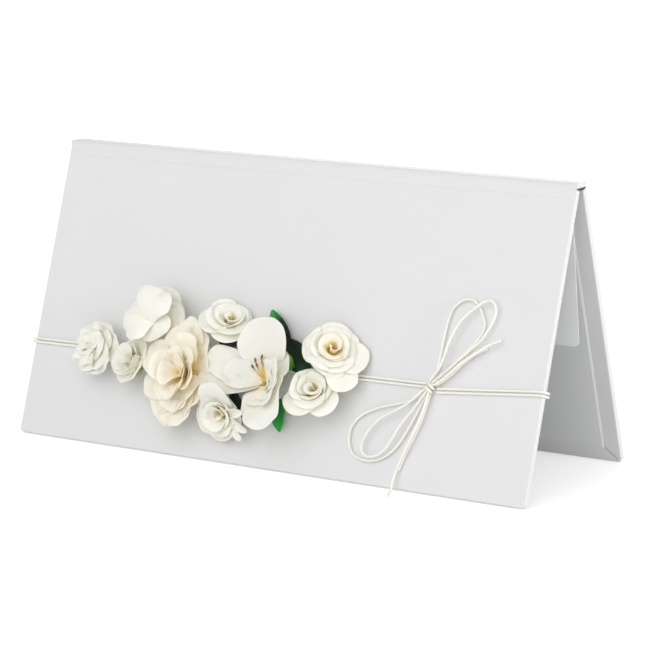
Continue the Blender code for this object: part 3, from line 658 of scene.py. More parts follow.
lowerLoop2 = [
    (0.0502, 0.0695, 0.0029), (0.0461, 0.0724, 0.0028), (0.0416, 0.0751, 0.0026),
    (0.0384, 0.0784, 0.0024), (0.0365, 0.0819, 0.0022), (0.0360, 0.0849, 0.0021),
    (0.0374, 0.0871, 0.0021), (0.0402, 0.0873, 0.0022), (0.0430, 0.0859, 0.0023),
    (0.0451, 0.0834, 0.0024), (0.0466, 0.0802, 0.0025), (0.0486, 0.0762, 0.0026),
    (0.0517, 0.0716, 0.0028),
]
lowerTail1 = [
    (0.0555, 0.0705, 0.0030), (0.0546, 0.0743, 0.0029), (0.0533, 0.0782, 0.0027),
    (0.0519, 0.0820, 0.0024), (0.0505, 0.0858, 0.0021), (0.0492, 0.0896, 0.0018),
    (0.0486, 0.0930, 0.0019), (0.0494, 0.0967, 0.0038), (0.0509, 0.09855, 0.0078),
]
lowerTail2 = [
    (0.0551, 0.0709, 0.0012), (0.0543, 0.0748, 0.0011), (0.0530, 0.0790, 0.0010),
    (0.0516, 0.0830, 0.0010), (0.0503, 0.0868, 0.0009), (0.0494, 0.0902, 0.0009),
]

knotMiddle = byKnot(0, 0, knotOut)


def squeezedInKnot(place):
    away = min(1, (place - knotMiddle).length / bow["squeezeReach"])
    return bow["squeeze"] + (1 - bow["squeeze"]) * away ** 4


def bowCord(name, up, loop, loopRow, tail, tailRow, length, replaced):
    # up is +1 where the loop leaves the knot upwards, and -1 where it leaves downwards
    inside = bow["inside"]
    middleOut = knotOut + inside * (1 if loopRow == upperRow else -1)
    leaveOut = knotOut + (tailRow - knotOut) * bow["easeShare"]
    start = byKnot(up * bow["startReach"], -up * inside, middleOut)
    places = [start, byKnot(up * knotEnd, -twinePitch, loopRow)]
    places += [onCover(*place) for place in loop]
    places.append(byKnot(up * knotEnd, 0.0, loopRow))
    places.append(byKnot(up * bow["turnReach"], up * inside * bow["easeShare"], middleOut))
    places.append(byKnot(-up * bow["leaveReach"], up * inside, leaveOut))
    places.append(byKnot(-up * knotEnd, twinePitch, tailRow))
    places += [onCover(*place) for place in tail]
    path = smoothRoute(places, twine["spacing"])
    cord = layTwine(name, path, *replaced, radiusAt=squeezedInKnot)
    print(name, "length in mm:", round(1000 * pathLength(path), 1))


# Each cord: which way its loop leaves the knot, the loop and its row, the tail and its row, its
# length, and the two nodes that it stands for

bowCords = {
    "bow_cord_1": (
        1, upperLoop1, lowerRow, lowerTail1, upperRow, 0.105, ("bow_upper_loop_1", "bow_lower_tail_1"),
    ),
    "bow_cord_2": (
        1, upperLoop2, upperRow, lowerTail2, lowerRow, 0.096, ("bow_upper_loop_2", "bow_lower_tail_2"),
    ),
    "bow_cord_3": (
        -1, lowerLoop1, lowerRow, upperTail1, upperRow, 0.104, ("bow_lower_loop_1", "bow_upper_tail_1"),
    ),
    "bow_cord_4": (
        -1, lowerLoop2, upperRow, upperTail2, lowerRow, 0.086, ("bow_lower_loop_2", "bow_upper_tail_2"),
    ),
}
for cordName, cord in bowCords.items():
    bowCord(cordName, *cord)
print("twine laid")


# Blooms: mulberry-paper petals, cut from round blanks and cupped and rolled by hand. A bloom's own
# frame has z out along its axis, x to the right and y up the cover; its petals stand on its calyx

bloomPaper = {
    "thickness": 0.00018,
    "crinkle": 0.00014,      # how far the paper's own creases lift it
    "columns": 14,
    "rows": 12,
    "roundness": 0.80,       # of a petal's blank: 1 is a disc, 0 is square
    "overlap": 0.0022,       # how far two blooms that press on each other reach into one another
    "leastRoom": 0.5,        # of its reach: a bloom is pressed in no further
    "facingLeast": 0.05,     # a neighbour further round than this doesn't press
    "middleShare": 0.45,     # a bloom's middle stands this share of its radius above its base
    "stem": 0.0033,          # from a bloom's foot to its petals' base
    "footGap": 0.0003,
    "onTwine": 0.0011,       # the twine band's height, under a foot that stands on it
}
petalDye = {
    "blotCells": 420,
    "blotSpread": 0.24,
    "fibreCells": 1500,
    "veinCells": (34, 2.5, 1),
    "baseAt": 0.04,
    "throatShare": 0.55,     # of the dye's reach
    "speckTones": [(0.25, (0.985, 0.98, 0.97)), (0.65, (1.0, 1.0, 1.0))],
    "veinShare": 0.7,        # of the relief
    "fibreShare": 0.3,
    "relief": (0.28, 0.00010),
    "surface": {
        "Roughness": 0.65, "Sheen Weight": 0.10, "Sheen Roughness": 0.5,
        "Specular IOR Level": 0.30, "Subsurface Weight": 0.30,
        "Subsurface Radius": (1.0, 0.95, 0.85), "Subsurface Scale": 0.0008,
    },
}
seed = random.Random(7)


def petalFinish(name, rim, throat, base, reach):
    # the dye runs from the petal's base up to its reach, a share of its length, and is part painted
    # shade
    material, tree, shader = startMaterial(name, petalDye["surface"])
    uvPlace, objectPlace = mapPlace(tree), benchPlace(tree)
    along = dyePlace(tree, uvPlace, objectPlace, petalDye["blotCells"], petalDye["blotSpread"])
    dyeAndShadeCut = addNode(tree, "ShaderNodeAttribute", attribute_name="dyeAndShadeCut")
    along = mixFloats(tree, "ADD", along, dyeAndShadeCut.outputs["Fac"])
    throatAt = reach * petalDye["throatShare"]
    # painted shade: base and throat tones darker than the rim stand in for shade deep in the bloom
    dyedAndShaded = colourRamp(tree, along, [(petalDye["baseAt"], base), (throatAt, throat), (reach, rim)])
    fibre = evenNoise(tree, objectPlace, petalDye["fibreCells"], 3.0)
    vein = stretchedNoise(tree, uvPlace, petalDye["veinCells"])
    speck = colourRamp(tree, fibre, petalDye["speckTones"])
    toned = mixColours(tree, "MULTIPLY", 1.0, dyedAndShaded, speck)
    tree.links.new(toned, shader.inputs["Base Color"])
    height = layered(tree, (vein, petalDye["veinShare"]), (fibre, petalDye["fibreShare"]))
    bump(tree, shader, height, *petalDye["relief"])
    return material


# Each dye has its tone at the rim, in the throat and at the base, and its reach

# the base and throat tones are part dye and part painted shade deep in the bloom
petalRecipes = {
    "white": ((0.910, 0.902, 0.815), (0.90, 0.88, 0.76), (0.80, 0.76, 0.48), 0.36),
    "cream": ((0.905, 0.885, 0.785), (0.89, 0.82, 0.62), (0.78, 0.62, 0.25), 0.56),
    "peach": ((0.900, 0.890, 0.808), (0.90, 0.83, 0.62), (0.86, 0.64, 0.21), 0.50),
    "amber": ((0.935, 0.890, 0.765), (0.92, 0.80, 0.50), (0.82, 0.58, 0.13), 0.62),
    "gold": ((0.905, 0.865, 0.720), (0.90, 0.77, 0.44), (0.80, 0.56, 0.13), 0.76),
}
petalFinishes = {
    dye: petalFinish(dye + "PetalPaper", *recipe) for dye, recipe in petalRecipes.items()
}
petalSlots = {
    "white": "white_petal",
    "cream": "cream_petal",
    "peach": "white_petal",
    "amber": "white_petal",
    "gold": "gold_petal",
}


def cutBlank(name, columns, rows):
    # a square of paper drawn out to a round one, with its UV map running from base to rim
    blank = flatPaper(name, columns, rows)
    square = 1 - bloomPaper["roundness"]
    for vertex in blank.data.vertices:
        x, y = vertex.co.x, vertex.co.y
        vertex.co = (
            x * (square + (1 - square) * math.sqrt(1 - y * y / 2)),
            y * (square + (1 - square) * math.sqrt(1 - x * x / 2)),
            0,
        )
    return blank


petalForm = {
    "azimuth": 0.0,          # degrees, from the right, towards the crease
    "hub": 0.0008,           # its base stands this far from the bloom's axis
    "lift": 0.0,             # and this far above the calyx
    "reach": 0.010,          # how far out its tip comes
    "width": 0.010,
    "lean": 30.0,            # degrees from the axis at its base
    "flare": 60.0,           # and at three quarters of its length
    "curl": 20.0,            # added over the last part, up to its rim
    "neck": 0.50,            # the base's width, of the whole
    "wrap": 0.8,             # 1 follows round the bloom's axis, 0 is straight across
    "cup": 0.10,             # how far its sides come up, of its half width
    "roll": 0.0,             # how far its sides roll back, of its half width
    "ruffle": 0.00015,
    "waves": 3,
    "notch": 0.0,            # taken out of its tip, of its length; less than 0 draws a point
    "tuck": 0.0005,          # one side lies over its neighbour, and the other under
    "dyeAndShadeCut": 0.0,           # the dye, with the painted shade in it, stops short by this share of its length
}
petalBend = {
    "steps": 28,             # along the middle line
    "flareAt": 0.75,         # of the length
    "curlFrom": 0.6,
    "leastOut": 0.15,        # how far out a petal comes at least, of its length
    "notchWidth": 0.25,
    "widestAt": 0.62,
    "tightestShare": 0.35,   # of its width: a petal is wrapped round no smaller a radius
    "tightest": 0.0012,
    "rollFrom": 0.45,        # of the half width
    "ruffleFrom": 0.40,      # of the way from the middle to the edge
    "secondWaves": 2.3,      # to each of the first waves, and half as high
    "crinkleCells": 2.6,
}


def petalProfile(form):
    # the middle line from base to tip, as (share, distance from the axis, height, slope)
    steps = petalBend["steps"]
    slopes = []
    for step in range(steps):
        share = (step + 0.5) / steps
        slope = form["lean"] + (form["flare"] - form["lean"]) * ease(share / petalBend["flareAt"])
        slope += form["curl"] * easeFrom(share, petalBend["curlFrom"])
        slopes.append(math.radians(slope))
    outwards = sum(math.sin(slope) for slope in slopes) / steps
    length = (form["reach"] - form["hub"]) / max(petalBend["leastOut"], outwards)
    profile = [(0.0, form["hub"], form["lift"], slopes[0])]
    for step, slope in enumerate(slopes):
        _, out, height, _ = profile[-1]
        out += math.sin(slope) * length / steps
        height += math.cos(slope) * length / steps
        profile.append(((step + 1) / steps, out, height, slope))
    return profile


def onProfile(profile, share):
    place = min(max(share, 0.0), 1.0) * (len(profile) - 1)
    low = min(int(place), len(profile) - 2)
    part = place - low
    return [a + (b - a) * part for a, b in zip(profile[low], profile[low + 1])]


def bendPetal(site, **changes):
    form = {**petalForm, **changes}
    bend = petalBend
    profile = petalProfile(form)
    petal = petalBlank.copy()
    petal.data = petalBlank.data.copy()
    bpy.context.collection.objects.link(petal)
    drift = Vector((seed.uniform(0, 90), seed.uniform(0, 90), seed.uniform(0, 90)))
    phase = seed.uniform(0, math.tau)
    secondPhase = seed.uniform(0, math.tau)
    azimuth = math.radians(form["azimuth"])
    sideways = Vector((-math.sin(azimuth), math.cos(azimuth), 0))
    dyeAndShadeCut = petal.data.attributes.new("dyeAndShadeCut", "FLOAT", "POINT")
    dyeAndShadeCut.data.foreach_set("value", [form["dyeAndShadeCut"]] * len(petal.data.vertices))
    for vertex in petal.data.vertices:
        x, y = vertex.co.x, vertex.co.y
        share = (y + 1) / 2
        share *= 1 - form["notch"] * math.exp(-(x / bend["notchWidth"]) ** 2) * share ** 3
        spread = form["neck"] + (1 - form["neck"]) * ease(share / bend["widestAt"])
        halfWidth = form["width"] / 2 * spread
        across = x * halfWidth
        _, out, height, slope = onProfile(profile, share)
        wrapRadius = max(out, bend["tightestShare"] * form["width"], bend["tightest"])
        facing = azimuth + form["wrap"] * across / wrapRadius
        outward = Vector((math.cos(facing), math.sin(facing), 0))
        inner = -math.cos(slope) * outward + Vector((0, 0, math.sin(slope)))
        around = math.atan2(x, y)
        wave = math.sin(form["waves"] * around + phase)
        wave += 0.5 * math.sin(bend["secondWaves"] * form["waves"] * around + secondPhase)
        offset = form["cup"] * halfWidth * x * x
        offset -= form["roll"] * halfWidth * easeFrom(abs(x), bend["rollFrom"])
        offset += form["ruffle"] * wave * easeFrom(math.hypot(x, y), bend["ruffleFrom"])
        offset += form["tuck"] * x
        creases = Vector((bend["crinkleCells"] * x, bend["crinkleCells"] * y, 0)) + drift
        offset += bloomPaper["crinkle"] * noise.noise(creases)
        place = outward * out + Vector((0, 0, height)) + sideways * (1 - form["wrap"]) * across
        vertex.co = site["place"](place + inner * offset)
    return petal


heartForm = {
    "columnsPerTurn": 22,
    "rows": 8,
    "startRadius": 0.0006,
    "dip": 0.16,             # how far the rim falls between two peaks, of its height
    "peaksPerTurn": 1.25,
    "curl": 34,              # degrees, of the rim at the strip's end
    "curlFrom": 0.65,        # of the height
    "curlShare": 0.6,        # of the curl, in how high the rim comes
    "endShare": 0.45,        # of the height, at the strip's two ends
    "endSlope": 5,
    "drawnIn": 0.0005,       # at the rim, where the strip starts
    "drawnFrom": 0.35,
    "drawnOver": 0.5,
    "crinkleCells": (4, 3),
}


def rollHeart(name, site, height, turns, growth, firstLean, lastLean):
    # a strip of petal paper rolled up: it stands nearly upright inside and leans out at its end
    strip = flatPaper(name, round(turns * heartForm["columnsPerTurn"]), heartForm["rows"])
    phase = seed.uniform(0, math.tau)
    drift = Vector((seed.uniform(0, 90), seed.uniform(0, 90), 0))
    acrossCells, upCells = heartForm["crinkleCells"]
    for vertex in strip.data.vertices:
        run = (vertex.co.x + 1) / 2
        up = (vertex.co.y + 1) / 2
        turn = run * turns
        lean = math.radians(firstLean + (lastLean - firstLean) * run)
        curl = math.radians(heartForm["curl"]) * run * easeFrom(up, heartForm["curlFrom"])
        ends = min(1, heartForm["endSlope"] * min(run, 1 - run) + heartForm["endShare"])
        peak = abs(math.sin(math.pi * turn * heartForm["peaksPerTurn"] + phase)) ** 2
        rim = height * (1 - heartForm["dip"] * peak) * ends
        reach = heartForm["startRadius"] + growth * turn + up * rim * math.sin(lean + curl)
        rise = up * rim * math.cos(lean + curl * heartForm["curlShare"])
        drawn = ease((up - heartForm["drawnFrom"]) / heartForm["drawnOver"])
        reach -= heartForm["drawnIn"] * drawn * (1 - run)
        creases = Vector((acrossCells * run * turns, upCells * up, 0)) + drift
        reach += bloomPaper["crinkle"] * noise.noise(creases)
        angle = math.tau * turn + phase
        vertex.co = site["place"](Vector((reach * math.cos(angle), reach * math.sin(angle), rise)))
    return strip


# Each bloom's seat is where its petals' base stands over the cover, as (along, down) from the crease

def bloomAt(seat, radius, rightTilt, upTilt, wide=1.0, onTwine=False):
    # tilts are in degrees, and wide is the bloom's width to its height
    along, down = seat
    footOut = bloomPaper["footGap"] + (bloomPaper["onTwine"] if onTwine else 0)
    own = (
        Matrix.Translation((along, -footOut - bloomPaper["stem"], -down))
        @ Matrix.Rotation(math.radians(rightTilt), 4, "Z")
        @ Matrix.Rotation(math.radians(-upTilt), 4, "X")
        @ Matrix.Rotation(math.radians(90), 4, "X")
        @ Matrix.Diagonal((wide, 1, 1, 1))
    )
    middle = own @ Vector((0, 0, bloomPaper["middleShare"] * radius))
    return {
        "foot": Vector((along, -footOut, -down)),
        "radius": radius,
        "wide": wide,
        "own": own,
        "middle": Vector((middle.x, middle.z)),
    }


blooms = {
    "ball_bloom": bloomAt((-0.0640, 0.0663), 0.0082, -8, 6, onTwine=True),
    "open_bloom": bloomAt((-0.0417, 0.0561), 0.0104, -2, 14),
    "rosebud": bloomAt((-0.0479, 0.0692), 0.0080, -22, 12, 0.98),
    "frilled_bloom": bloomAt((-0.0281, 0.0709), 0.0174, -2, 3, 0.76),
    "upper_rose": bloomAt((-0.0168, 0.0526), 0.0086, 26, 30, 1.04),
    "stamen_bloom": bloomAt((0.0004, 0.0700), 0.0176, -8, 10, 0.95),
    "lower_rose": bloomAt((-0.0137, 0.0804), 0.0082, 2, -24),
    "large_rose": bloomAt((0.0215, 0.0575), 0.0096, 28, 22),
    "round_rose": bloomAt((0.0174, 0.0706), 0.0088, 13, 20),
}


def reachTowards(bloom, facing):
    return bloom["radius"] / math.hypot(facing.x / bloom["wide"], facing.y)


def meetings(bloomName):
    # where each neighbour meets this bloom: a direction on the cover, and a distance from its
    # middle
    bloom = blooms[bloomName]
    found = []
    for otherName, other in blooms.items():
        if otherName == bloomName:
            continue
        between = other["middle"] - bloom["middle"]
        facing = between.normalized()
        reach = reachTowards(bloom, facing)
        ownShare = reach / (reach + reachTowards(other, facing))
        found.append((facing, between.length * ownShare + bloomPaper["overlap"] / 2))
    return found


def bloomSite(bloomName):
    bloom = blooms[bloomName]
    middle = bloom["middle"]
    limits = meetings(bloomName)

    def place(point):
        # from the bloom's frame to the room, drawn in towards its rim where a neighbour presses
        onFace = bloom["own"] @ point
        offset = Vector((onFace.x, onFace.z)) - middle
        if offset.length > touching:
            facing = offset.normalized()
            reach = reachTowards(bloom, facing)
            room = 1.0
            for direction, distance in limits:
                towards = facing.dot(direction)
                if towards > bloomPaper["facingLeast"]:
                    room = min(room, distance / (towards * reach))
            room = max(room, bloomPaper["leastRoom"])
            offset *= 1 - (1 - room) * min(1.0, offset.length / reach)
        return coverFrame @ Vector((middle.x + offset.x, onFace.y, middle.y + offset.y))

    return {"place": place, "bloom": bloom}


petalBlank = cutBlank("petalBlank", bloomPaper["columns"], bloomPaper["rows"])
ringForm = {
    "jitter": 4.0,           # degrees, in where a petal stands and how it leans
    "widthShare": 1.5,       # of an even share of the ring, so that petals overlap
    "leanShare": 0.6,        # of the jitter
    "curlShare": 1.5,
    "reachRange": (0.93, 1.04),
    "widthRange": (0.92, 1.06),
    "girthShare": 0.72,      # of the reach: where the petals' widths are shared out
}


def petalRing(site, count, reachShare, lean, flare, curl, start, widthShare=None, skew=(0, 0), **form):
    # a ring of like petals, no two quite the same; skew has the side where they reach further, in
    # degrees, and by what share
    radius = site["bloom"]["radius"]
    jitter = ringForm["jitter"]
    petals = []
    for index in range(count):
        azimuth = start + 360 * index / count + seed.uniform(-jitter, jitter)
        reach = radius * reachShare * seed.uniform(*ringForm["reachRange"])
        reach *= 1 + skew[1] * math.cos(math.radians(azimuth - skew[0]))
        width = math.tau * radius * reachShare * ringForm["girthShare"] / count
        width *= widthShare or ringForm["widthShare"]
        width *= seed.uniform(*ringForm["widthRange"])
        petals.append(
            bendPetal(
                site, azimuth=azimuth, reach=reach, width=width,
                lean=lean + seed.uniform(-jitter, jitter) * ringForm["leanShare"],
                flare=flare + seed.uniform(-jitter, jitter),
                curl=curl + seed.uniform(-jitter, jitter) * ringForm["curlShare"],
                **form,
            )
        )
    return petals


def handPetals(site, petals):
    # petals set one by one, each as (azimuth, reach, width, lean, flare, curl, more)
    sizes = ("azimuth", "reach", "width", "lean", "flare", "curl")
    return [bendPetal(site, **dict(zip(sizes, petal)), **petal[-1]) for petal in petals]


def givePaperDepth(piece, depth):
    pickOnly(piece)
    paperWall = piece.modifiers.new("paper", "SOLIDIFY")
    paperWall.thickness = depth
    paperWall.offset = 0
    soft = piece.modifiers.new("soft", "SUBSURF")
    soft.levels = 1
    soft.render_levels = 1
    applyModifiers(piece)
    bpy.ops.object.shade_smooth()


def finishPetals(pieces, name, finish, replaced):
    whorl = joinPieces(pieces, name)
    givePaperDepth(whorl, bloomPaper["thickness"])
    dress(whorl, petalFinishes[finish], petalSlots[finish], "front_cover", *replaced)


def setRose(bloomName, heartDye, heart, rings, whorls, more=()):
    # the heart is (height as a share of the radius, turns, growth in a turn, first and last lean);
    # a ring is (count, reach as a share, lean, flare, curl, start, more); whorls name the nodes that
    # the rings stand for, as (ending, dye, rings in it); petals in more go with the outermost
    site = bloomSite(bloomName)
    heightShare, *strip = heart
    name = bloomName + "_rolled_heart"
    rolled = rollHeart(name, site, site["bloom"]["radius"] * heightShare, *strip)
    finishPetals([rolled], name, heartDye, (bloomName + "_heart",))
    for ending, dye, indexes in whorls:
        petals = []
        for index in indexes:
            *ring, changes = rings[index]
            petals += petalRing(site, *ring, **changes)
        if ending == "outer_petals":
            petals += handPetals(site, more)
        finishPetals(petals, bloomName + "_paper_" + ending, dye, (bloomName + "_" + ending,))


setRose(
    "large_rose", "gold", (0.60, 1.8, 0.00085, 2, 20),
    [
        (3, 0.52, 8, 28, 50, 20, {"roll": 0.12, "hub": 0.0022}),
        (4, 0.74, 22, 56, 44, 80, {"roll": 0.20, "hub": 0.0024, "notch": -0.08}),
        (5, 0.93, 38, 74, 34, 14, {"roll": 0.16, "hub": 0.0022, "skew": (280, 0.05)}),
        (5, 0.98, 54, 84, 20, 50, {"roll": 0.10, "hub": 0.0020, "skew": (260, 0.10)}),
    ],
    [("inner_petals", "cream", (0, 1)), ("outer_petals", "white", (2, 3))],
    [
        (296, 0.0146, 0.0105, 66, 92, 2, {"wrap": 0.3, "cup": 0.06, "lift": -0.0004}),
        (340, 0.0118, 0.0110, 56, 84, 10, {"wrap": 0.4, "cup": 0.08}),
    ],
)
setRose(
    "round_rose", "peach", (0.66, 1.4, 0.00085, 2, 14),
    [
        (3, 0.55, 8, 26, 40, 50, {"roll": 0.06, "hub": 0.0019}),
        (4, 0.82, 24, 50, 36, 10, {"roll": 0.08, "hub": 0.0020, "skew": (270, 0.10)}),
        (5, 1.04, 42, 74, 20, 30, {"roll": 0.06, "hub": 0.0020, "skew": (280, 0.24)}),
    ],
    [("inner_petals", "cream", (0,)), ("outer_petals", "white", (1, 2))],
)
setRose(
    "upper_rose", "cream", (0.66, 1.5, 0.00080, 2, 16),
    [
        (3, 0.54, 10, 30, 40, 80, {"roll": 0.08, "hub": 0.0018}),
        (4, 0.78, 30, 58, 30, 20, {"roll": 0.10, "hub": 0.0018, "skew": (225, 0.16)}),
        (5, 0.93, 52, 82, 8, 56, {"roll": 0.06, "hub": 0.0018, "skew": (205, 0.22)}),
    ],
    [("outer_petals", "white", (0, 1, 2))],
)
setRose(
    "lower_rose", "cream", (0.66, 1.5, 0.00090, 2, 16),
    [
        (3, 0.60, 8, 26, 44, 10, {"roll": 0.08, "hub": 0.0019}),
        (4, 0.88, 26, 52, 34, 96, {"roll": 0.12, "hub": 0.0019}),
        (5, 1.04, 46, 74, 14, 60, {"roll": 0.08, "hub": 0.0019, "widthShare": 1.4}),
    ],
    [("outer_petals", "white", (0, 1, 2))],
    [
        (86, 0.0116, 0.0130, 40, 66, 14, {"wrap": 0.5, "cup": 0.06}),
        (345, 0.0122, 0.0036, 46, 72, 6, {"wrap": 0.2, "cup": 0.50}),
        (18, 0.0112, 0.0036, 40, 66, 6, {"wrap": 0.2, "cup": 0.50}),
        (324, 0.0112, 0.0036, 46, 74, 6, {"wrap": 0.2, "cup": 0.50}),
    ],
)
setRose(
    "rosebud", "peach", (1.0, 1.6, 0.00080, 0, 12),
    [
        (3, 0.66, 10, 26, 34, 200, {"roll": 0.10, "hub": 0.0018, "widthShare": 1.6}),
        (5, 1.06, 38, 66, 18, 250, {"roll": 0.06, "hub": 0.0016}),
    ],
    [("outer_petals", "white", (0, 1))],
)
setRose(
    "ball_bloom", "white", (0.66, 1.2, 0.00070, 0, 4),
    [
        (
            3, 0.46, -4, 66, 58, 50,
            {"widthShare": 1.8, "hub": 0.0006, "lift": 0.0024, "ruffle": 0.0006, "waves": 5},
        ),
        (
            4, 0.74, 12, 76, 50, 0,
            {"widthShare": 1.7, "hub": 0.0010, "lift": 0.0014, "ruffle": 0.0007, "waves": 5},
        ),
        (
            5, 0.98, 36, 84, 38, 40,
            {"widthShare": 1.6, "hub": 0.0012, "lift": 0.0006, "ruffle": 0.0008, "waves": 5},
        ),
        (
            6, 1.12, 62, 90, 10, 10,
            {"widthShare": 1.6, "hub": 0.0014, "ruffle": 0.0006, "waves": 4, "skew": (0, 0.08)},
        ),
    ],
    [("outer_petals", "white", (0, 1, 2, 3))],
)
print("roses set")


def setOpenBloom(bloomName, dye, whorls):
    # whorls hold petals set one by one, under the ending of the node that they stand for
    site = bloomSite(bloomName)
    for ending, petals in whorls.items():
        whorlName = bloomName + "_paper_" + ending
        finishPetals(handPetals(site, petals), whorlName, dye, (bloomName + "_" + ending,))


broad = {"wrap": 0.35, "cup": 0.08, "ruffle": 0.0005}
folded = {"wrap": 0.4, "cup": 0.40, "ruffle": 0.0004, "lift": 0.0010}
frilled = {"wrap": 0.35, "cup": 0.10, "ruffle": 0.0006, "waves": 4}
domed = {"wrap": 0.5, "cup": -0.08, "ruffle": 0.0004, "waves": 5}

setOpenBloom("stamen_bloom", "peach", {
    "outer_petals": [
        (93, 0.0194, 0.0204, 48, 74, 4, {**broad, "cup": 0.10, "dyeAndShadeCut": 0.12}),
        (166, 0.0222, 0.0112, 52, 78, 2, {**broad, "dyeAndShadeCut": 0.5}),
        (186, 0.0234, 0.0128, 56, 80, 2, {**broad, "dyeAndShadeCut": 0.4}),
        (264, 0.0134, 0.0112, 56, 80, 4, {**broad, "dyeAndShadeCut": 0.4}),
        (318, 0.0184, 0.0215, 52, 74, 4, {**broad, "cup": 0.16, "ruffle": 0.0008, "dyeAndShadeCut": 0.2}),
        (284, 0.0146, 0.0124, 60, 82, 2, {**broad, "dyeAndShadeCut": 0.4}),
        (302, 0.0154, 0.0130, 60, 80, 2, {**broad, "dyeAndShadeCut": 0.3}),
        (340, 0.0140, 0.0130, 40, 62, 6, {**broad, "cup": 0.20, "dyeAndShadeCut": 0.1}),
        (10, 0.0130, 0.0120, 36, 58, 6, {**broad, "cup": 0.18, "dyeAndShadeCut": 0.1}),
        (46, 0.0128, 0.0130, 52, 78, 4, {**broad, "cup": 0.10, "dyeAndShadeCut": 0.2}),
        (146, 0.0136, 0.0098, 54, 78, 2, {**broad, "lift": 0.0012, "dyeAndShadeCut": 0.4}),
        (176, 0.0138, 0.0108, 48, 74, 6, {**broad, "lift": 0.0014, "dyeAndShadeCut": 0.3}),
    ],
    "inner_petals": [
        (16, 0.0092, 0.0110, 40, 60, 4, folded),
        (338, 0.0100, 0.0110, 42, 62, 4, folded),
        (304, 0.0092, 0.0120, 46, 70, 4, folded),
    ],
})
setOpenBloom("frilled_bloom", "amber", {
    "outer_petals": [
        (102, 0.0186, 0.0200, 54, 78, 4, frilled),
        (132, 0.0160, 0.0140, 62, 84, 4, frilled),
        (160, 0.0196, 0.0150, 56, 78, 6, frilled),
        (188, 0.0192, 0.0160, 64, 84, 2, frilled),
        (214, 0.0176, 0.0160, 66, 86, 2, frilled),
        (246, 0.0178, 0.0190, 66, 86, -6, frilled),
        (272, 0.0170, 0.0190, 60, 82, -6, frilled),
        (300, 0.0150, 0.0180, 58, 80, -4, frilled),
        (328, 0.0142, 0.0150, 60, 82, 2, frilled),
        (0, 0.0134, 0.0150, 56, 78, 6, frilled),
        (38, 0.0138, 0.0150, 60, 82, 4, frilled),
        (70, 0.0158, 0.0160, 56, 78, 6, frilled),
    ],
    "inner_petals": [
        (90, 0.0130, 0.0160, 36, 60, 10, frilled),
        (146, 0.0118, 0.0140, 34, 62, 12, {**frilled, "dyeAndShadeCut": 0.2}),
        (204, 0.0124, 0.0140, 42, 68, 10, {**frilled, "dyeAndShadeCut": 0.2}),
        (252, 0.0126, 0.0160, 46, 72, 8, {**frilled, "dyeAndShadeCut": 0.2}),
        (304, 0.0120, 0.0150, 42, 68, 10, {**frilled, "dyeAndShadeCut": 0.2}),
        (350, 0.0108, 0.0110, 30, 52, 16, folded),
        (30, 0.0112, 0.0110, 28, 50, 14, folded),
    ],
    "heart": [
        (168, 0.0104, 0.0120, 20, 46, 14, {**folded, "cup": 0.55}),
        (206, 0.0064, 0.0130, 2, 34, 26, {**folded, "wrap": 0.7}),
        (100, 0.0080, 0.0130, 10, 44, 22, folded),
        (268, 0.0092, 0.0130, 20, 50, 20, folded),
        (326, 0.0078, 0.0120, 12, 42, 22, folded),
        (36, 0.0066, 0.0100, 8, 32, 20, {**folded, "wrap": 0.8}),
    ],
})
setOpenBloom("open_bloom", "white", {
    "outer_petals": [
        (94, 0.0112, 0.0165, 60, 68, -20, {"wrap": 0.5, "cup": 0.14}),
        (178, 0.0114, 0.0150, 62, 72, -22, {"wrap": 0.5, "cup": 0.14}),
        (232, 0.0092, 0.0130, 70, 80, -10, {"wrap": 0.5, "cup": 0.12}),
        (300, 0.0086, 0.0130, 70, 78, -10, {"wrap": 0.5, "cup": 0.12}),
        (14, 0.0104, 0.0120, 58, 68, 10, {"wrap": 0.5, "cup": 0.34}),
        (48, 0.0096, 0.0130, 70, 78, 0, {"wrap": 0.5, "cup": 0.12}),
    ],
    "inner_petals": [
        (306, 0.0080, 0.0140, 0, 82, 50, {**domed, "hub": -0.0016, "lift": 0.0002}),
        (150, 0.0098, 0.0120, 14, 84, 46, {**domed, "hub": 0.0004}),
        (24, 0.0086, 0.0120, 14, 84, 46, {**domed, "hub": 0.0004}),
        (216, 0.0102, 0.0150, -4, 82, 50, {**domed, "hub": -0.0014, "lift": 0.0006}),
        (
            72, 0.0096, 0.0170, -10, 80, 54,
            {**domed, "hub": -0.0022, "lift": 0.0012, "ruffle": 0.0005},
        ),
    ],
})
print("open blooms set")


# Greenery: calyces wound with floral tape, dyed paper leaves with painted shade, and a closed bud

greenery = {
    "calyxFoot": 0.0013,
    "calyxWaist": 0.0011,
    "roseRing": 0.00175,     # the calyx's radius under a wound bloom's petals
    "openRing": 0.0020,      # and under an open bloom's
    "openBlooms": ("open_bloom", "frilled_bloom", "stamen_bloom"),
    "ringGap": 0.0003,
    "heightShares": (0.07, 0.34, 0.86),   # where the foot, the waist and the ring are
    "flutes": 5,
    "fluteShare": 0.05,
    "fluteTurn": 4,
    "turnFrom": 0.05,        # the cup turns from the cover's face to the bloom's over this height
    "turnOver": 0.84,
    "around": 30,
    "along": 22,
    "sepals": 5,
    "sepalJitter": 8,
    "sepalHubShare": 0.7,
    "sepalDropShare": 1.4,
}
sepalForm = {
    "reach": 0.0042, "width": 0.0030, "lean": 74, "flare": 92, "curl": 8, "neck": 0.75, "wrap": 0.5,
    "cup": 0.05, "notch": -0.30, "ruffle": 0.0001, "tuck": 0.0,
}
greenDye = {
    "blotCells": 500,
    "blotSpread": 0.30,
    "veinCells": (26, 3.0, 1),
    "fibreCells": 1800,
    "specular": 0.35,
    "baseAt": 0.06,
    "tipAt": 0.96,
    "veinShare": 0.6,        # of the relief
    "fibreShare": 0.4,
    "relief": (0.4, 0.00012),
}


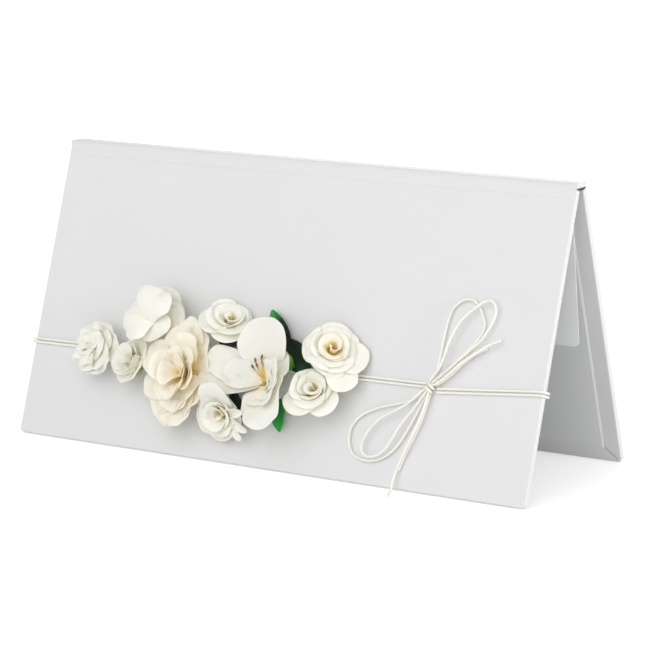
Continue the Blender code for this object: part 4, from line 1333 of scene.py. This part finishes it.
def greenFinish(name, base, middle, tip, roughness, deepTo=0.50):
    # tone deepens from tip to base: the bud's own green, and painted shade where leaves run under
    # blooms
    surface = {"Roughness": roughness, "Specular IOR Level": greenDye["specular"]}
    material, tree, shader = startMaterial(name, surface)
    uvPlace, objectPlace = mapPlace(tree), benchPlace(tree)
    along = dyePlace(tree, uvPlace, objectPlace, greenDye["blotCells"], greenDye["blotSpread"])
    stops = [(greenDye["baseAt"], base), (deepTo, middle), (greenDye["tipAt"], tip)]
    tree.links.new(colourRamp(tree, along, stops), shader.inputs["Base Color"])
    vein = stretchedNoise(tree, uvPlace, greenDye["veinCells"])
    fibre = evenNoise(tree, objectPlace, greenDye["fibreCells"], 3.0)
    height = layered(tree, (vein, greenDye["veinShare"]), (fibre, greenDye["fibreShare"]))
    bump(tree, shader, height, *greenDye["relief"])
    return material


# Each green has its tone at the base, in the middle and at the tip, and its roughness

greenRecipes = {
    "floralTape": ((0.42, 0.50, 0.22), (0.52, 0.60, 0.30), (0.62, 0.68, 0.38), 0.6),
    # painted highlight and shade: a bright green tip and a near-black base, as the leaf is lit and
    # shaded
    "litTipShadedLeafPaper": ((0.002, 0.012, 0.004), (0.004, 0.035, 0.009), (0.030, 0.40, 0.060), 0.42, 0.62),
    "litLeafPaper": ((0.010, 0.16, 0.026), (0.018, 0.28, 0.042), (0.035, 0.42, 0.065), 0.42),
    # painted shade: near black, standing in for the deep shade in the gaps between the blooms
    "shadowDarkLeafPaper": ((0.002, 0.010, 0.004), (0.003, 0.020, 0.006), (0.006, 0.040, 0.010), 0.5),
    "budPaper": ((0.020, 0.30, 0.030), (0.42, 0.52, 0.12), (0.86, 0.80, 0.48), 0.5),
}
greenFinishes = {name: greenFinish(name, *recipe) for name, recipe in greenRecipes.items()}


def rolledSkin(name, around, along, placeAt):
    # a grid rolled up on itself and drawn together at both ends; placeAt has a turn in radians and
    # the share of the way from one end to the other
    skin = flatPaper(name, around, along)
    for vertex in skin.data.vertices:
        vertex.co = placeAt(math.pi * (vertex.co.x + 1), (vertex.co.y + 1) / 2)
    turnFacesOut(skin, touching)
    bpy.ops.object.shade_smooth()
    return skin


def radiusAlong(knots, share):
    # knots are (share, radius), eased from one to the next
    for (before, small), (after, large) in zip(knots, knots[1:]):
        if share <= after:
            return small + (large - small) * ease((share - before) / (after - before))
    return knots[-1][1]


def setCalyx(bloomName, ring):
    bloom = blooms[bloomName]
    radii = (greenery["calyxFoot"], greenery["calyxWaist"], ring)
    knots = [(0.0, 0.0), *zip(greenery["heightShares"], radii), (1.0, 0.0)]

    def placeAt(turn, share):
        flute = math.cos(greenery["flutes"] * turn + greenery["fluteTurn"] * share)
        radius = radiusAlong(knots, share) * (1 + greenery["fluteShare"] * flute)
        low = bloom["foot"] + Vector((math.cos(turn), 0, math.sin(turn))) * radius
        high = bloom["own"] @ Vector(
            (radius * math.cos(turn), radius * math.sin(turn), -greenery["ringGap"])
        )
        turned = ease((share - greenery["turnFrom"]) / greenery["turnOver"])
        return coverFrame @ low.lerp(high, turned)

    cup = rolledSkin(bloomName + "_cup", greenery["around"], greenery["along"], placeAt)
    site = bloomSite(bloomName)
    sepals = []
    for index in range(greenery["sepals"]):
        jitter = seed.uniform(-greenery["sepalJitter"], greenery["sepalJitter"])
        sepals.append(
            bendPetal(
                site,
                azimuth=360 * index / greenery["sepals"] + jitter,
                hub=ring * greenery["sepalHubShare"],
                lift=-greenery["ringGap"] * greenery["sepalDropShare"],
                **sepalForm,
            )
        )
    crown = joinPieces(sepals, bloomName + "_sepals")
    givePaperDepth(crown, bloomPaper["thickness"])
    whole = joinPieces([cup, crown], bloomName + "_wound_calyx")
    dress(whole, greenFinishes["floralTape"], "calyx_green", "front_cover", bloomName + "_calyx")


for bloomName in blooms:
    setCalyx(bloomName, greenery["openRing" if bloomName in greenery["openBlooms"] else "roseRing"])
print("calyces set")


# Stamens, each a thread of stiffened paper with its anther: (azimuth, lean, length)

stamens = {
    "threads": (
        (92, 50, 0.0092), (112, 44, 0.0088), (78, 42, 0.0084), (128, 34, 0.0076),
        (98, 28, 0.0080),
    ),
    "hub": 0.0007,
    "rise": 0.0004,
    "bendFrom": 0.35,        # of its lean, at its foot
    "threadRadius": 0.00022,
    "footShare": 1.1,        # of that radius, at its foot
    "taperShare": 0.35,      # and how much less at its tip
    "rootShare": 0.04,       # of the length, closing its foot
    "antherRadius": 0.00042,
    "antherShare": 0.17,
    "around": 10,
    "along": 30,
    "grainCells": 2600,
    "grainSpread": 0.06,
    "tones": [(0.05, (0.88, 0.66, 0.22)), (0.70, (0.80, 0.58, 0.16)), (0.88, (0.22, 0.11, 0.03))],
    "relief": (0.5, 0.00010),
}


def stamenFinish():
    material, tree, shader = startMaterial("stamenPaper", {"Roughness": 0.5})
    grain = evenNoise(tree, benchPlace(tree), stamens["grainCells"])
    blot = mixFloats(tree, "MULTIPLY", grain, stamens["grainSpread"])
    along = mixFloats(tree, "ADD", axisOf(tree, mapPlace(tree), "Y"), blot)
    tree.links.new(colourRamp(tree, along, stamens["tones"]), shader.inputs["Base Color"])
    bump(tree, shader, grain, *stamens["relief"])
    return material


def stamenRadius(share):
    radius = stamens["threadRadius"] * (stamens["footShare"] - stamens["taperShare"] * share)
    radius *= math.sqrt(min(1, share / stamens["rootShare"]))
    anther = (share - 1 + stamens["antherShare"]) / stamens["antherShare"]
    if anther > 0:
        swelling = math.sqrt(max(0, anther * (1 - anther))) * 2
        radius = max(radius * (1 - anther), stamens["antherRadius"] * swelling)
    return radius


def setStamens():
    own = blooms["stamen_bloom"]["own"]
    pieces = []
    for index, (azimuth, lean, length) in enumerate(stamens["threads"]):
        facing = math.radians(azimuth)
        outward = Vector((math.cos(facing), math.sin(facing), 0))
        across = Vector((-outward.y, outward.x, 0))

        def placeAt(turn, share):
            bow = math.radians(lean * (stamens["bendFrom"] + (1 - stamens["bendFrom"]) * share))
            middle = outward * (stamens["hub"] + length * share * math.sin(bow))
            middle += Vector((0, 0, stamens["rise"] + length * share * math.cos(bow)))
            square = outward * math.cos(bow) - Vector((0, 0, math.sin(bow)))
            section = square * math.cos(turn) + across * math.sin(turn)
            return coverFrame @ own @ (middle + section * stamenRadius(share))

        pieces.append(rolledSkin(f"stamen{index}", stamens["around"], stamens["along"], placeAt))
    tuft = joinPieces(pieces, "stamen_bloom_thread_stamens")
    dress(tuft, stamenFinish(), "gold_petal", "front_cover", "stamen_bloom_stamens")


setStamens()
print("stamens set")

# Leaves lie between the blooms and under them. Each has its base as (along, down), its heading in
# degrees from the right, towards the crease, its length and width, how far its base and its tip
# stand off the cover, and its finish

leaves = {
    "upper_leaf": ((0.0038, 0.0566), 126.5, 0.0124, 0.0054, 0.0004, 0.0020, "litTipShadedLeafPaper"),
    "side_leaf": ((0.0030, 0.0560), 321, 0.0146, 0.0084, 0.0010, 0.0021, "shadowDarkLeafPaper"),
    "lower_leaf": ((0.0035, 0.0738), 287, 0.0106, 0.0050, 0.0004, 0.0016, "litLeafPaper"),
    # the tucked leaves are dark green paper, near black with painted shade, in the deep gaps under the
    # blooms
    "tucked_leaf_1": ((-0.0215, 0.0594), 18, 0.0112, 0.0044, 0.0004, 0.0008, "shadowDarkLeafPaper"),
    "tucked_leaf_2": ((-0.0137, 0.0732), 302, 0.0112, 0.0044, 0.0004, 0.0008, "shadowDarkLeafPaper"),
    "tucked_leaf_3": ((0.0160, 0.0575), 160, 0.0072, 0.0040, 0.0004, 0.0008, "shadowDarkLeafPaper"),
}
leafForm = {
    "columns": 8,
    "rows": 18,
    "depth": 0.00022,
    "fold": 0.0006,
    "foldSlope": 4,
    "wave": 0.00025,
    "waveCells": (2.2, 5),
    "stalkShare": 0.05,      # of the width
    "bulge": 0.85,
    "bulgeFrom": 0.10,
    "bulgeOver": 0.885,
    "risenAt": 0.7,          # of the length
}


def setLeaf(leafName, base, heading, length, width, low, high, finish):
    blade = flatPaper(leafName + "_blank", leafForm["columns"], leafForm["rows"])
    heading = math.radians(heading)
    drift = Vector((seed.uniform(0, 90), seed.uniform(0, 90), 0))
    stalk = leafForm["stalkShare"]
    acrossCells, alongCells = leafForm["waveCells"]
    for vertex in blade.data.vertices:
        x, share = vertex.co.x, (vertex.co.y + 1) / 2
        bulge = math.sin(math.pi * (leafForm["bulgeFrom"] + leafForm["bulgeOver"] * share))
        half = width / 2 * (stalk + (1 - stalk) * bulge ** leafForm["bulge"])
        along, up = length * share, half * x
        creases = Vector((acrossCells * x, alongCells * share, 0)) + drift
        rise = low + (high - low) * ease(share / leafForm["risenAt"])
        rise += leafForm["fold"] * abs(x) * min(1, leafForm["foldSlope"] * half / width)
        rise += leafForm["wave"] * (1 + noise.noise(creases)) * x * x
        vertex.co = onCover(
            base[0] + math.cos(heading) * along - math.sin(heading) * up,
            base[1] - math.sin(heading) * along - math.cos(heading) * up,
            rise,
        )
    blade = joinPieces([blade], leafName + "_paper")
    givePaperDepth(blade, leafForm["depth"])
    dress(blade, greenFinishes[finish], "leaf_green", "front_cover", leafName)


for leafName, leaf in leaves.items():
    setLeaf(leafName, *leaf)

closedBud = {
    "base": (0.0084, 0.0646),
    "heading": 127,
    "length": 0.0080,
    "radius": 0.0016,
    "low": 0.0038,           # its middle line stands this far off the cover at its base
    "high": 0.0050,          # and at its tip
    "petals": 5,
    "petalDepth": 0.10,      # of its radius
    "petalTurn": 3.4,
    "radiusShares": ((0.0, 0.0), (0.10, 0.72), (0.42, 1.0), (0.80, 0.62), (1.0, 0.0)),
    "around": 40,
    "along": 26,
}


def setBud():
    heading = math.radians(closedBud["heading"])
    forward = Vector((math.cos(heading), 0, math.sin(heading)))
    sideways = Vector((-math.sin(heading), 0, math.cos(heading)))
    outwards = Vector((0, -1, 0))
    along, down = closedBud["base"]

    def placeAt(turn, share):
        flute = math.cos(closedBud["petals"] * turn + closedBud["petalTurn"] * share)
        radius = closedBud["radius"] * radiusAlong(closedBud["radiusShares"], share)
        radius *= 1 + closedBud["petalDepth"] * flute
        out = closedBud["low"] + (closedBud["high"] - closedBud["low"]) * share
        middle = Vector((along, -out, -down)) + forward * closedBud["length"] * share
        middle += sideways * radius * math.cos(turn)
        return coverFrame @ (middle + outwards * radius * math.sin(turn))

    bud = rolledSkin("closed_paper_bud", closedBud["around"], closedBud["along"], placeAt)
    dress(bud, greenFinishes["budPaper"], "calyx_green", "front_cover", "green_bud")


setBud()
bpy.data.objects.remove(petalBlank, do_unlink=True)
print("leaves and bud set")


# Light: a wide soft lamp above and in front, a small one at the right, a weak one behind, and an
# even white room

lamps = {
    "keyLamp": {"place": (0.00, -0.86, 0.54), "power": 6.15, "size": 1.2},
    "sideLamp": {"place": (0.94, 0.02, 0.14), "power": 5.0, "size": 0.5},
    "rearLamp": {"place": (-0.20, 0.95, 0.30), "power": 4.0, "size": 0.9},
}
studio = {
    "lampAim": (0, 0, 0.04),
    "room": 0.50,            # how strongly the room lights the object
    "floorSize": 12,
    "floorSurface": {
        "Roughness": 0.9, "Base Color": (0.88, 0.88, 0.88, 1), "Specular IOR Level": 0.0,
        "Emission Color": (1, 1, 1, 1),
    },
    # added to the floor for the camera, so that its lit part is white: more far from the lamps
    "floorGlow": {"From Min": 0.16, "From Max": 0.80, "To Min": 0.38, "To Max": 0.75},
    "bounces": 16,
    "diffuseBounces": 12,
}


def addLamp(name, place, power, size):
    bpy.ops.object.light_add(type="AREA", location=place)
    lamp = bpy.context.object
    lamp.name = name
    lamp.data.energy = power
    lamp.data.size = size
    towards = Vector(studio["lampAim"]) - Vector(place)
    lamp.rotation_euler = towards.to_track_quat("-Z", "Y").to_euler()


def seenPlainly(tree):
    # 1 for the camera and for what gloss and glass show of the room, 0 for its light on the object
    path = addNode(tree, "ShaderNodeLightPath")
    either = mixFloats(tree, "MAXIMUM", path.outputs["Is Camera Ray"], path.outputs["Is Glossy Ray"])
    return mixFloats(tree, "MAXIMUM", either, path.outputs["Is Transmission Ray"])


def layFloor():
    bpy.ops.mesh.primitive_plane_add(size=studio["floorSize"])
    floor = bpy.context.object
    floor.name = "floor"
    material, tree, shader = startMaterial("paleFloor", studio["floorSurface"])
    away = addNode(tree, "ShaderNodeVectorMath", operation="LENGTH")
    tree.links.new(benchPlace(tree), away.inputs[0])
    added = addNode(tree, "ShaderNodeMapRange")
    tree.links.new(away.outputs["Value"], added.inputs["Value"])
    setInputs(added, studio["floorGlow"])
    strength = mixFloats(tree, "MULTIPLY", seenPlainly(tree), added.outputs["Result"])
    tree.links.new(strength, shader.inputs["Emission Strength"])
    floor.data.materials.append(material)


def fillRoom():
    world = bpy.data.worlds.new("whiteRoom")
    bpy.context.scene.world = world
    world.use_nodes = True
    tree = world.node_tree
    background = tree.nodes["Background"]
    background.inputs["Color"].default_value = (1, 1, 1, 1)
    plain = seenPlainly(tree)
    spare = mixFloats(tree, "MULTIPLY", plain, 1 - studio["room"])
    tree.links.new(mixFloats(tree, "ADD", spare, studio["room"]), background.inputs["Strength"])


for lampName, lamp in lamps.items():
    addLamp(lampName, **lamp)
layFloor()
fillRoom()
bpy.context.scene.view_settings.view_transform = "Standard"
bpy.context.scene.cycles.max_bounces = studio["bounces"]
bpy.context.scene.cycles.diffuse_bounces = studio["diffuseBounces"]
print("studio lit")
